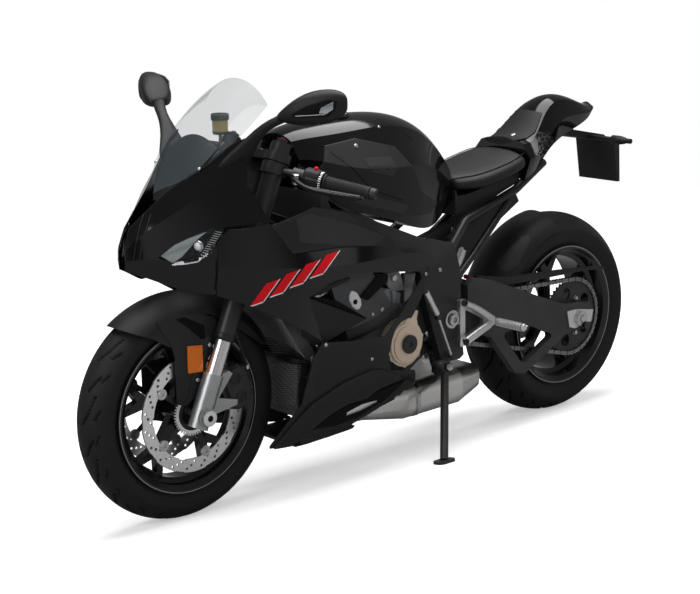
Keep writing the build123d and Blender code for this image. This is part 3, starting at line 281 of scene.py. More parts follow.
def tube(path: list[Vector], radius: float | list[float], sides: int = 12, flat: float = 1.0) -> Shape:
    """A round or flattened tube along a path.

    Args:
        path: Its centre line.
        radius: One radius, or one for each point.
        sides: Corners round the section.
        flat: Height of the section as a share of its width.

    Returns:
        The tube with capped ends.
    """
    radii = radius if isinstance(radius, list) else [radius] * len(path)
    normal = (path[1] - path[0]).orthogonal().normalized()
    loops = []
    for index, centre in enumerate(path):
        ahead = path[min(index + 1, len(path) - 1)]
        behind = path[max(index - 1, 0)]
        tangent = (ahead - behind).normalized()
        normal = (normal - tangent * normal.dot(tangent)).normalized()
        other = tangent.cross(normal)
        loops.append([centre + normal * radii[index] * math.cos(angle)
                      + other * radii[index] * flat * math.sin(angle) for angle in turns(sides)])
    return rings(loops)


def slab(outline: list[Flat], low: float, high: float) -> Shape:
    """A plate with a side-view outline of (x, z) corners between two distances to the left."""
    return rings([[Vector((x, y, z)) for x, z in outline] for y in (low, high)])


def circle(radius: float, steps: int, centre: Flat) -> list[Flat]:
    """Corners of a regular polygon that stands for a circle."""
    return [on_circle(centre, radius, angle) for angle in turns(steps)]


def cut_plate(outline: list[Flat], holes: list[list[Flat]], low: float, high: float) -> Shape:
    """A flat plate with holes, from (x, z) outlines, between two distances to the left."""
    loops = [outline, *holes]
    flat = [[Vector((x, z, 0)) for x, z in loop] for loop in loops]
    points = [point for loop in flat for point in loop]
    faces = tessellate_polygon(flat)
    shape = Shape([Vector((p.x, low, p.y)) for p in points] + [Vector((p.x, high, p.y)) for p in points])
    count = len(points)
    for face in faces:
        shape.faces.append(tuple(face))
        shape.faces.append(tuple(index + count for index in reversed(face)))
    start = 0
    for loop in loops:
        for index in range(len(loop)):
            beside = (index + 1) % len(loop)
            shape.faces.append((start + index, start + beside, start + beside + count, start + index + count))
        start += len(loop)
    return shape


def domed_bolt(at: Point | Vector, axis: Vector, radius: float) -> Shape:
    """A button-head screw with a socket in its crown."""
    crown = radius * 0.62
    dome = ((0.35, 1.0), (0.75, 0.86), (1.0, 0.58), (1.0, 0.42), (0.3, 0.4))
    profile = [(-1.0, radius), *((crown * along, radius * across) for along, across in dome)]
    profile.append((crown * 0.3, 0.05))
    return spun(profile, Vector(at), axis, 24)


# ---------------------------------------------------------------- shader groups and finishes


NodeValues = dict[str | int, object]


class Wiring:
    """A short way to add and join nodes in one tree."""

    def __init__(self, tree: bpy.types.NodeTree) -> None:
        """Keeps the tree that the nodes go in."""
        self.tree = tree

    def feed(self, node: bpy.types.Node, values: NodeValues) -> bpy.types.Node:
        """Fills a node's inputs, by name or index, with numbers or with links from sockets."""
        for label, value in values.items():
            if isinstance(value, bpy.types.NodeSocket):
                self.tree.links.new(value, node.inputs[label])
            else:
                node.inputs[label].default_value = value
        return node

    def node(self, kind: str, values: NodeValues | None = None, **settings: object) -> bpy.types.Node:
        """Adds a node, sets its properties and fills its inputs."""
        made = self.tree.nodes.new(kind)
        for name, value in settings.items():
            setattr(made, name, value)
        return self.feed(made, values or {})

    def math(self, operation: str, *values: object) -> bpy.types.NodeSocket:
        """Adds a Math node fed by numbers or sockets and gives its output."""
        return self.node("ShaderNodeMath", dict(enumerate(values)), operation=operation).outputs[0]

    def vector(self, operation: str, *values: object) -> bpy.types.Node:
        """Adds a Vector Math node fed by vectors or sockets."""
        return self.node("ShaderNodeVectorMath", dict(enumerate(values)), operation=operation)

    def mix(self, factor: bpy.types.NodeSocket, first: object, second: object) -> bpy.types.NodeSocket:
        """Mixes two colours by a factor and gives the result."""
        values = {"Factor": factor, "A": first, "B": second}
        return self.node("ShaderNodeMix", values, data_type="RGBA").outputs["Result"]

    def spread(self, value: bpy.types.NodeSocket, low: float, high: float,
               start: float = 0.0, end: float = 1.0) -> bpy.types.NodeSocket:
        """Maps a value that runs from start to end onto low to high."""
        values = {"Value": value, "From Min": start, "From Max": end, "To Min": low, "To Max": high}
        return self.node("ShaderNodeMapRange", values).outputs["Result"]

    def effect(self, name: str, values: NodeValues | None = None) -> bpy.types.Node:
        """Adds one of the shared node groups."""
        return self.node("ShaderNodeGroup", values, node_tree=Effects.get(name))


GroupParts = tuple[Wiring, bpy.types.Node, bpy.types.Node]


def new_group(name: str, inputs: dict[str, float], outputs: list[str]) -> GroupParts:
    """Starts a shader node group with float inputs and outputs.

    Args:
        name: The group's name.
        inputs: Input names and their defaults.
        outputs: Output names.

    Returns:
        The group's wiring, its input node and its output node.
    """
    group = bpy.data.node_groups.new(name, "ShaderNodeTree")
    for label, value in inputs.items():
        socket = group.interface.new_socket(label, in_out="INPUT", socket_type="NodeSocketFloat")
        socket.default_value = value
    for label in outputs:
        group.interface.new_socket(label, in_out="OUTPUT", socket_type="NodeSocketFloat")
    wiring = Wiring(group)
    return wiring, wiring.node("NodeGroupInput"), wiring.node("NodeGroupOutput")


def new_material(name: str) -> tuple[bpy.types.Material, Wiring, bpy.types.Node]:
    """Starts a material and gives it with its wiring and its Principled shader."""
    material = bpy.data.materials.new(name)
    material.use_nodes = True
    return material, Wiring(material.node_tree), material.node_tree.nodes["Principled BSDF"]


class Texture(Enum):
    """The relief that a finish shows close up."""

    GRAINED = "grained"
    BRUSHED = "brushed"
    LEATHER = "leather"
    LINES = "lines"
    DOTS = "dots"


class Effects:
    """The node groups that the finishes share."""

    made: dict[str, bpy.types.NodeTree] = {}
    patch_scale = 14.0
    crease_depth = 0.22
    rib_directions = ((0.35, 0.94), (0.94, -0.35))
    row_pitch = 0.866
    pimple_radius = 0.36
    sharp_from, sharp_to = 0.52, 0.60

    @classmethod
    def get(cls, name: str) -> bpy.types.NodeTree:
        """Builds a group the first time that it is asked for."""
        if name not in cls.made:
            cls.made[name] = getattr(cls, f"_{name}")()
        return cls.made[name]

    @staticmethod
    def _coordinates(wiring: Wiring) -> bpy.types.NodeSocket:
        """The piece's own coordinates, in metres."""
        return wiring.node("ShaderNodeTexCoord").outputs["Object"]

    @classmethod
    def _grain(cls) -> bpy.types.NodeTree:
        """Fine noise with a slower one under it: Height for relief, Patches for colour."""
        wiring, source, target = new_group("grain", {"Scale": 900.0, "Stretch": 1.0}, ["Height", "Patches"])
        stretch = source.outputs["Stretch"]
        shares = wiring.node("ShaderNodeCombineXYZ", {"X": 1.0, "Y": stretch, "Z": stretch})
        scaled = wiring.vector("MULTIPLY", cls._coordinates(wiring), shares.outputs[0]).outputs[0]
        fine = wiring.node("ShaderNodeTexNoise", {"Vector": scaled, "Scale": source.outputs["Scale"],
                                                  "Detail": 3.0})
        slow = wiring.node("ShaderNodeTexNoise", {"Vector": scaled, "Scale": cls.patch_scale, "Detail": 5.0})
        wiring.feed(target, {"Height": fine.outputs["Fac"], "Patches": slow.outputs["Fac"]})
        return wiring.tree

    @classmethod
    def _leather(cls) -> bpy.types.NodeTree:
        """Small pebbles with creases between them."""
        wiring, source, target = new_group("pebbles", {"Scale": 420.0}, ["Height"])
        values = {"Vector": cls._coordinates(wiring), "Scale": source.outputs["Scale"]}
        cells = wiring.node("ShaderNodeTexVoronoi", feature="DISTANCE_TO_EDGE")
        wiring.feed(cells, values)
        wiring.feed(target, {"Height": wiring.math("MINIMUM", cells.outputs["Distance"], cls.crease_depth)})
        return wiring.tree

    @classmethod
    def _side_view(cls) -> bpy.types.NodeTree:
        """Where a point lies forward and up on the upright bike, in metres."""
        wiring, _, target = new_group("side_view", {}, ["Forward", "Up"])
        place = wiring.vector("SUBTRACT", cls._coordinates(wiring), tuple(BIKE.out((0, 0, 0)))).outputs[0]
        for label, axis in (("Forward", (1, 0, 0)), ("Up", (0, 0, 1))):
            part = wiring.vector("DOT_PRODUCT", place, tuple(BIKE.turn(axis)))
            wiring.feed(target, {label: part.outputs["Value"]})
        return wiring.tree

    @classmethod
    def _lines(cls) -> bpy.types.NodeTree:
        """Fine crossed ribs that run along and down the side of the bike."""
        wiring, source, target = new_group("crossed_ribs", {"Pitch": 0.0042}, ["Height"])
        side = wiring.effect("side_view")
        heights = []
        for forward, up in cls.rib_directions:
            run = wiring.math("ADD", wiring.math("MULTIPLY", side.outputs["Forward"], forward),
                              wiring.math("MULTIPLY", side.outputs["Up"], up))
            wave = wiring.math("FRACT", wiring.math("DIVIDE", run, source.outputs["Pitch"]))
            heights.append(wiring.math("ABSOLUTE", wiring.math("SUBTRACT", wave, 0.5)))
        wiring.feed(target, {"Height": wiring.math("MAXIMUM", *heights)})
        return wiring.tree

    @classmethod
    def _dots(cls) -> bpy.types.NodeTree:
        """Rows of round pimples, every second row moved half a pitch."""
        wiring, source, target = new_group("pimples", {"Pitch": 0.0065}, ["Height"])
        side, pitch = wiring.effect("side_view"), source.outputs["Pitch"]
        rows = wiring.math("DIVIDE", side.outputs["Up"], wiring.math("MULTIPLY", pitch, cls.row_pitch))
        odd = wiring.math("MULTIPLY", wiring.math("MODULO", wiring.math("FLOOR", rows), 2.0), 0.5)
        columns = wiring.math("ADD", wiring.math("DIVIDE", side.outputs["Forward"], pitch), odd)
        gaps = [wiring.math("SUBTRACT", wiring.math("FRACT", value), 0.5) for value in (rows, columns)]
        far = wiring.math("SQRT", wiring.math("ADD", *(wiring.math("MULTIPLY", gap, gap) for gap in gaps)))
        wiring.feed(target, {"Height": wiring.math("SUBTRACT", 0.5,
                                                   wiring.math("MINIMUM", far, cls.pimple_radius))})
        return wiring.tree

    @classmethod
    def _edge_wear(cls) -> bpy.types.NodeTree:
        """A mask of the sharp outer edges, broken up by noise."""
        wiring, source, target = new_group("edge_wear", {"Amount": 0.3}, ["Mask"])
        pointed = wiring.node("ShaderNodeNewGeometry").outputs["Pointiness"]
        sharp = wiring.spread(pointed, 0.0, 1.0, cls.sharp_from, cls.sharp_to)
        broken = wiring.math("MULTIPLY", sharp, wiring.effect("grain").outputs["Patches"])
        wiring.feed(target, {"Mask": wiring.math("MULTIPLY", broken, source.outputs["Amount"])})
        return wiring.tree


def shaded(colour: Point, share: float) -> tuple[float, ...]:
    """A colour with its channels scaled, and an alpha of 1."""
    return (*(channel * share for channel in colour), 1)


@dataclass(frozen=True)
class Surface:
    """What each finish has: a material of its own, a slot and a colour."""

    name: str
    slot: str
    colour: Point

    def material(self) -> bpy.types.Material:
        """The finish's material, built the first time that it is asked for."""
        return bpy.data.materials.get(self.name) or self._build()

    def _build(self) -> bpy.types.Material:
        """Builds the material, in the way of each kind of finish."""
        raise NotImplementedError


@dataclass(frozen=True)
class Finish(Surface):
    """One opaque surface finish."""

    roughness: float
    metallic: float = 0.0
    specular: float = 0.5
    coat: float = 0.0
    texture: Texture = Texture.GRAINED
    scale: float = 900.0
    relief: float = 0.08
    mottle: float = 0.12
    wear: float = 0.0
    brushed_stretch: float = 24.0
    relief_height: float = 0.0006
    roughness_swing: float = 0.15

    def _height(self, wiring: Wiring, grain: bpy.types.Node) -> bpy.types.NodeSocket:
        """The output that the relief follows."""
        if self.texture in (Texture.GRAINED, Texture.BRUSHED):
            return grain.outputs["Height"]
        values = {"Scale": self.scale} if self.texture is Texture.LEATHER else None
        return wiring.effect(self.texture.value, values).outputs["Height"]

    def _build(self) -> bpy.types.Material:
        """Wires grain, colour patches, relief and worn edges into a Principled shader."""
        material, wiring, shader = new_material(self.name)
        stretch = self.brushed_stretch if self.texture is Texture.BRUSHED else 1.0
        grain = wiring.effect("grain", {"Scale": self.scale, "Stretch": stretch})
        patches = grain.outputs["Patches"]
        dark, light = shaded(self.colour, 1 - self.mottle), shaded(self.colour, 1 + self.mottle)
        colour = wiring.mix(patches, dark, light)
        if self.wear:
            worn = wiring.effect("edge_wear", {"Amount": self.wear}).outputs["Mask"]
            bare = (*(min(channel * 3 + 0.06, 1) for channel in self.colour), 1)
            colour = wiring.mix(worn, colour, bare)
        rough = wiring.spread(patches, max(self.roughness * (1 - self.roughness_swing), 0.02),
                              min(self.roughness * (1 + self.roughness_swing), 1.0))
        bump = wiring.node("ShaderNodeBump", {"Strength": self.relief, "Distance": self.relief_height,
                                              "Height": self._height(wiring, grain)})
        wiring.feed(shader, {"Base Color": colour, "Roughness": rough, "Normal": bump.outputs["Normal"],
                             "Metallic": self.metallic, "Specular IOR Level": self.specular,
                             "Coat Weight": self.coat, "Coat Roughness": 0.03})
        return material


@dataclass(frozen=True)
class ClearFinish(Surface):
    """A clear moulding or glass."""

    roughness: float = 0.02
    opacity: float = 0.18
    specular: float = 0.4
    edge_opacity: float = 2.2
    edge_blend: float = 0.35

    def _build(self) -> bpy.types.Material:
        """A glossy skin whose middle lets most light straight through."""
        material, wiring, shader = new_material(self.name)
        patches = wiring.effect("grain").outputs["Patches"]
        tint = wiring.mix(patches, shaded(self.colour, 0.97), shaded(self.colour, 1))
        edge = wiring.node("ShaderNodeLayerWeight", {"Blend": self.edge_blend})
        alpha = wiring.spread(edge.outputs["Fresnel"], self.opacity,
                              min(self.opacity * self.edge_opacity, 1.0))
        wiring.feed(shader, {"Base Color": tint, "Alpha": alpha, "Roughness": self.roughness,
                             "Specular IOR Level": self.specular})
        return material


GLOSS = Finish("gloss_black_paint", "gloss_black", (0.002, 0.002, 0.0023), 0.1, specular=0.3, coat=0.15,
               scale=500, relief=0.006, mottle=0.15)
MATT = Finish("matt_black_plastic", "matt_black", (0.0075, 0.0077, 0.008), 0.5, specular=0.26, scale=1500,
              relief=0.12, mottle=0.1, wear=0.12)
SATIN_GREY = Finish("satin_grey_casting", "grey_cast", (0.013, 0.0135, 0.0145), 0.42, specular=0.32,
                    scale=1200, relief=0.12, mottle=0.1, wear=0.25)
BLACK_STEEL = Finish("satin_black_steel", "black_steel", (0.006, 0.006, 0.0065), 0.36, specular=0.34,
                     scale=1100, relief=0.1, wear=0.25)
ENGINE_GREY = Finish("engine_casting", "black_steel", (0.03, 0.031, 0.033), 0.46, metallic=0.4, scale=700,
                     relief=0.3, mottle=0.2, wear=0.3)
WHEEL_BLACK = Finish("wheel_enamel", "wheel_black", (0.004, 0.004, 0.0045), 0.22, specular=0.35, coat=0.2,
                     scale=700, relief=0.03, wear=0.1)
TYRE_RUBBER = Finish("tyre_rubber", "tyre", (0.008, 0.008, 0.0084), 0.58, specular=0.24, scale=1800,
                     relief=0.25, mottle=0.18)
DISC_STEEL = Finish("ground_disc_steel", "disc_steel", (0.86, 0.86, 0.87), 0.34, metallic=1.0,
                    texture=Texture.BRUSHED, scale=260, relief=0.05, mottle=0.08)
BARE_STEEL = Finish("machined_steel", "bare_steel", (0.55, 0.55, 0.56), 0.28, metallic=1.0,
                    texture=Texture.BRUSHED, scale=300, relief=0.06, mottle=0.1)
CHAIN_STEEL = Finish("oiled_chain_steel", "chain_steel", (0.2, 0.2, 0.2), 0.34, metallic=1.0, scale=900,
                     relief=0.1, mottle=0.25, wear=0.3)
CHROME = Finish("hard_chrome", "chrome", (0.68, 0.68, 0.69), 0.24, metallic=1.0, texture=Texture.BRUSHED,
                scale=200, relief=0.01, mottle=0.03)
SILVER_CAST = Finish("silver_casting", "silver_cast", (0.68, 0.68, 0.69), 0.38, metallic=1.0, scale=1100,
                     relief=0.2, mottle=0.15, wear=0.2)
FORK_GREY = Finish("fork_casting", "grey_cast", (0.3, 0.305, 0.31), 0.36, metallic=0.85, scale=1200,
                   relief=0.15, wear=0.2)
BRONZE = Finish("champagne_cover", "bronze", (0.56, 0.45, 0.355), 0.4, metallic=0.6, scale=1300, relief=0.12,
                mottle=0.1, wear=0.15)
EXHAUST = Finish("satin_exhaust_steel", "satin_steel", (0.7, 0.69, 0.68), 0.32, metallic=1.0,
                 texture=Texture.BRUSHED, scale=180, relief=0.08, mottle=0.16)
COOLER = Finish("cooler_black", "cooler_black", (0.02, 0.02, 0.021), 0.45, scale=900,
                relief=0.15)
SEAT = Finish("grained_seat_cover", "seat_cover", (0.009, 0.0092, 0.0096), 0.5, specular=0.3,
              texture=Texture.LEATHER, scale=520, relief=0.35, mottle=0.12)
GRIP = Finish("ribbed_grip_rubber", "grip_rubber", (0.013, 0.013, 0.013), 0.66, specular=0.3,
              scale=1500, relief=0.3)
RIBBED = Finish("ribbed_panel", "matt_black", (0.012, 0.0122, 0.0125), 0.44, specular=0.35,
                texture=Texture.LINES, relief=0.9)
PIMPLED = Finish("pimpled_panel", "matt_black", (0.012, 0.0122, 0.0125), 0.44, specular=0.35,
                 texture=Texture.DOTS, relief=0.9)
RED = Finish("red_film", "gloss_black", (0.52, 0.004, 0.009), 0.4, specular=0.15,
             scale=500, relief=0.01, mottle=0.05)
PALE = Finish("pale_film", "gloss_black", (0.55, 0.55, 0.57), 0.25, coat=0.3,
              scale=500, relief=0.01, mottle=0.05)
RED_METAL = Finish("red_anodised", "red_spring", (0.26, 0.006, 0.008), 0.3, metallic=0.7,
                   scale=900, relief=0.05)
# Grey rings on the black rim flanges: a painted highlight.
RIM_HIGHLIGHT = Finish("rim_painted_highlight", "wheel_black", (0.19, 0.19, 0.195), 0.3, relief=0.01)
# Deep black for films and plates: painted shade in holes, slots, vents, groove floors and gaps, and the colour
# of dark joints and black parts.
SHADOW = Finish("deep_black_and_painted_shade", "matt_black", (0.003, 0.003, 0.003), 0.8, specular=0.15, relief=0.05)
SCREEN = ClearFinish("clear_screen", "screen", (0.07, 0.09, 0.1), opacity=0.12, specular=0.12)
LENS = ClearFinish("lamp_lens", "lamp", (0.12, 0.13, 0.14), opacity=0.06, specular=0.3)
FLUID = Finish("brake_fluid", "reservoir", (0.36, 0.27, 0.05), 0.12, coat=0.4, relief=0.01)
AMBER = Finish("amber_reflector", "lamp", (0.52, 0.115, 0.004), 0.3, specular=0.3, coat=0.1,
               texture=Texture.DOTS, relief=0.3)
MIRROR_GLASS = Finish("mirror_glass", "chrome", (0.75, 0.77, 0.78), 0.03, metallic=1.0,
                      relief=0.002, mottle=0.02)
LAMP_SILVER = Finish("lamp_reflector", "lamp", (0.55, 0.58, 0.6), 0.16, metallic=0.9, relief=0.02)
LAMP_GREY = Finish("lamp_inner_shade", "lamp", (0.2, 0.225, 0.23), 0.4, relief=0.02, mottle=0.3)
FIN_GREY = Finish("cooler_fin", "cooler_black", (0.2, 0.203, 0.21), 0.45, relief=0.05)
CAST_GREY = Finish("pale_casting", "grey_cast", (0.13, 0.133, 0.137), 0.42, metallic=0.7, scale=900,
                   relief=0.25, mottle=0.2, wear=0.3)

NODE_FINISH = {
    "front_tyre": TYRE_RUBBER, "rear_tyre": TYRE_RUBBER, "front_rim": WHEEL_BLACK, "rear_rim": WHEEL_BLACK,
    "front_discs": DISC_STEEL, "rear_disc": DISC_STEEL, "front_axle": BARE_STEEL, "rear_axle": BARE_STEEL,
    "rear_sprocket": BLACK_STEEL, "drive_chain": CHAIN_STEEL, "fork_sliders": CHROME,
    "fork_uppers": BLACK_STEEL, "fork_lowers": FORK_GREY, "front_calipers": BLACK_STEEL,
    "rear_caliper": BLACK_STEEL, "fork_clamps": BLACK_STEEL, "handlebars": BLACK_STEEL, "hand_grips": GRIP,
    "control_levers": BLACK_STEEL, "brake_reservoir": FLUID, "front_fender": MATT, "main_frame": SATIN_GREY,
    "subframe": BLACK_STEEL, "swingarm": SATIN_GREY, "engine_block": ENGINE_GREY, "alternator_cover": BRONZE,
    "clutch_cover": BLACK_STEEL, "sprocket_cover": MATT, "radiator": COOLER, "oil_cooler": COOLER,
    "exhaust_headers": EXHAUST, "exhaust_silencer": EXHAUST, "exhaust_can": EXHAUST, "nose_fairing": GLOSS,
    "side_fairings": GLOSS, "side_covers": MATT, "lower_fairings": MATT, "headlamps": LAMP_SILVER,
    "fairing_stay": BLACK_STEEL, "belly_pan": MATT, "panel_pins": BLACK_STEEL, "seat_pan": MATT,
    "windscreen": SCREEN, "mirrors": MATT, "fuel_tank": GLOSS, "tank_pads": MATT, "rider_seat": SEAT,
    "tail_fairing": GLOSS, "plate_bracket": MATT, "rear_indicators": MATT, "rear_hugger": MATT,
    "chain_guard": MATT, "rear_shock": FORK_GREY, "footrests": SILVER_CAST, "side_stand": SATIN_GREY,
    "stand_bracket": BLACK_STEEL,
}


# ---------------------------------------------------------------- turning shapes into pieces


class Body(Enum):
    """The rigid bodies that pieces ride on."""

    ROOT = "root"
    STEER = "steer"
    FRONT_WHEEL = "front_wheel"
    REAR_WHEEL = "rear_wheel"


@dataclass(frozen=True)
class Look:
    """How a shape's edges are finished when it becomes a piece."""

    bevel: float = 0.0
    bevel_angle: float = 32.0
    crease_angle: float = 34.0
    rounds: int = 0
    bevel_segments: int = 2


SOFT = Look(crease_angle=60.0)
MERGE_DISTANCE = 0.01


def make_piece(name: str, shape: Shape, finish: Surface, body: Body = Body.ROOT,
               look: Look = Look(), replaces: tuple[str, ...] = ()) -> bpy.types.Object:
    """Makes one dressed piece of the bike.

    Args:
        name: The piece's name.
        shape: Its mesh in upright millimetres.
        finish: Its finish.
        body: The body that it moves with.
        look: Bevels, creases and subdivision.
        replaces: CAD nodes that it stands for.

    Returns:
        The new object, riding on its body.
    """
    work = bmesh.new()
    corners = [work.verts.new(point) for point in shape.points]
    for face in shape.faces:
        if len(set(face)) > 2:
            try:
                work.faces.new([corners[index] for index in face])
            except ValueError:
                continue
    bmesh.ops.remove_doubles(work, verts=work.verts, dist=MERGE_DISTANCE)
    bmesh.ops.recalc_face_normals(work, faces=work.faces)
    if look.bevel:
        edges = [edge for edge in work.edges if edge.calc_face_angle(0) > math.radians(look.bevel_angle)]
        bmesh.ops.bevel(work, geom=edges, offset=look.bevel, segments=look.bevel_segments,
                        affect="EDGES", clamp_overlap=True)
    bmesh.ops.transform(work, matrix=BIKE.matrix, verts=work.verts)
    for face in work.faces:
        face.smooth = True
    for edge in work.edges:
        if edge.calc_face_angle(0) > math.radians(look.crease_angle):
            edge.smooth = False
    mesh = bpy.data.meshes.new(name)
    work.to_mesh(mesh)
    work.free()
    piece = bpy.data.objects.new(name, mesh)
    bpy.context.scene.collection.objects.link(piece)
    if look.rounds:
        smooth = piece.modifiers.new("rounded", "SUBSURF")
        smooth.levels = smooth.render_levels = look.rounds
    mesh.materials.append(finish.material())
    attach(piece, body.value)
    if replaces:
        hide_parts(*replaces)
    log.info("%s rides on %s with %d corners", name, body.value, len(mesh.vertices))
    return piece


class Skin:
    """The outer surface of some CAD nodes, found by rays in upright millimetres."""

    clear_of_bike = 600.0
    most_splits = 7

    def __init__(self, *nodes: str) -> None:
        """Gathers the nodes' triangles into one search tree."""
        back = BIKE.matrix.inverted()
        points: list[Vector] = []
        faces: list[tuple[int, ...]] = []
        for node in nodes:
            mesh = frame["nodes"][node].data
            start = len(points)
            points += [back @ vertex.co for vertex in mesh.vertices]
            faces += [tuple(index + start for index in face.vertices) for face in mesh.polygons]
        self.tree = BVHTree.FromPolygons(points, faces)

    @classmethod
    def of(cls, shape: Shape) -> "Skin":
        """A skin over a shape in upright millimetres."""
        made = cls()
        made.tree = BVHTree.FromPolygons(shape.points, shape.faces)
        return made

    def hit(self, start: Vector, direction: Vector) -> tuple[Vector, Vector] | None:
        """The first point met by a ray, and the surface's normal towards the ray's start."""
        place, normal, _, _ = self.tree.ray_cast(start, direction)
        if place is None:
            return None
        return place, normal if normal.dot(direction) < 0 else -normal

    def seen(self, pixel: Flat) -> tuple[Vector, Vector] | None:
        """The point seen at a pixel of the picture."""
        return self.hit(Vector(CAMERA.place), CAMERA.ray(pixel))

    def beside(self, x: float, z: float) -> tuple[Vector, Vector] | None:
        """The outermost point on the left at a place in side view."""
        return self.hit(Vector((x, self.clear_of_bike, z)), -LEFT)

    def draped(self, outline: list[Flat], lift: float, pixels: bool = True, step: float = 5.0,
               thick: float = 0.0) -> Shape:
        """A thin film or plate that follows the surface inside an outline.

        Args:
            outline: Corners as pixels of the picture, or as (x, z) in side view.
            lift: How far the film stands off the surface.
            pixels: Which of the two the corners are.
            step: The longest edge of the film's grid, in the outline's units.
            thick: How far the plate reaches inwards, or 0 for a film.

        Returns:
            The film on the left side.
        """
        work = bmesh.new()
        ring = [work.verts.new((u, v, 0)) for u, v in outline]
        work.faces.new(ring)
        bmesh.ops.triangulate(work, faces=work.faces)
        for _ in range(self.most_splits):
            long_edges = [edge for edge in work.edges if edge.calc_length() > step]
            if not long_edges:
                break
            bmesh.ops.subdivide_edges(work, edges=long_edges, cuts=1)
            bmesh.ops.triangulate(work, faces=[face for face in work.faces if len(face.verts) > 3])
        shape = Shape()
        under: list[Vector] = []
        kept: dict[int, int] = {}
        work.verts.ensure_lookup_table()
        work.verts.index_update()
        for vertex in work.verts:
            found = (self.seen if pixels else lambda flat: self.beside(*flat))((vertex.co.x, vertex.co.y))
            if found:
                kept[vertex.index] = len(shape.points)
                shape.points.append(found[0] + found[1] * lift)
                under.append(found[0] + found[1] * (lift - thick))
        for face in work.faces:
            if all(vertex.index in kept for vertex in face.verts):
                shape.faces.append(tuple(kept[vertex.index] for vertex in face.verts))
        work.free()
        if thick:
            count = len(shape.points)
            runs = {(a, b) for face in shape.faces for a, b in zip(face, face[1:] + face[:1])}
            shape.faces += [tuple(index + count for index in reversed(face)) for face in shape.faces]
            shape.faces += [(a, b, b + count, a + count) for a, b in runs if (b, a) not in runs]
            shape.points += under
        return shape

    def line(self, pixels: list[Flat], half: float, lift: float = 0.5) -> Shape:
        """A narrow film along a run of pixels, this many pixels to each side of it."""
        shape = Shape()
        for a, b in zip(pixels, pixels[1:]):
            run = Vector((b[0] - a[0], b[1] - a[1])).normalized() * half
            shape.add(self.draped([(a[0] - run.y, a[1] + run.x), (b[0] - run.y, b[1] + run.x),
                                   (b[0] + run.y, b[1] - run.x), (a[0] + run.y, a[1] - run.x)], lift, step=3))
        return shape

    def screws(self, places: tuple[tuple[float, float, float], ...]) -> Shape:
        """Screws square to the surface, from the pixel and the radius of each."""
        shape = Shape()
        for u, v, radius in places:
            found = self.seen((u, v))
            if found:
                shape.add(domed_bolt(*found, radius))
        return shape


def side_outline(pixels: tuple[Flat, ...], y: float) -> list[Flat]:
    """Where an outline of the picture's pixels lies in side view, at a distance to the left."""
    return [(spot.x, spot.z) for spot in (CAMERA.on_side(pixel, y) for pixel in pixels)]


def pixel_plate(pixels: tuple[Flat, ...], y: float, thick: float) -> Shape:
    """A flat plate on the left whose outer face covers an outline of the picture's pixels."""
    return slab(side_outline(pixels, y), y - thick, y)


# ---------------------------------------------------------------- wheels and brakes


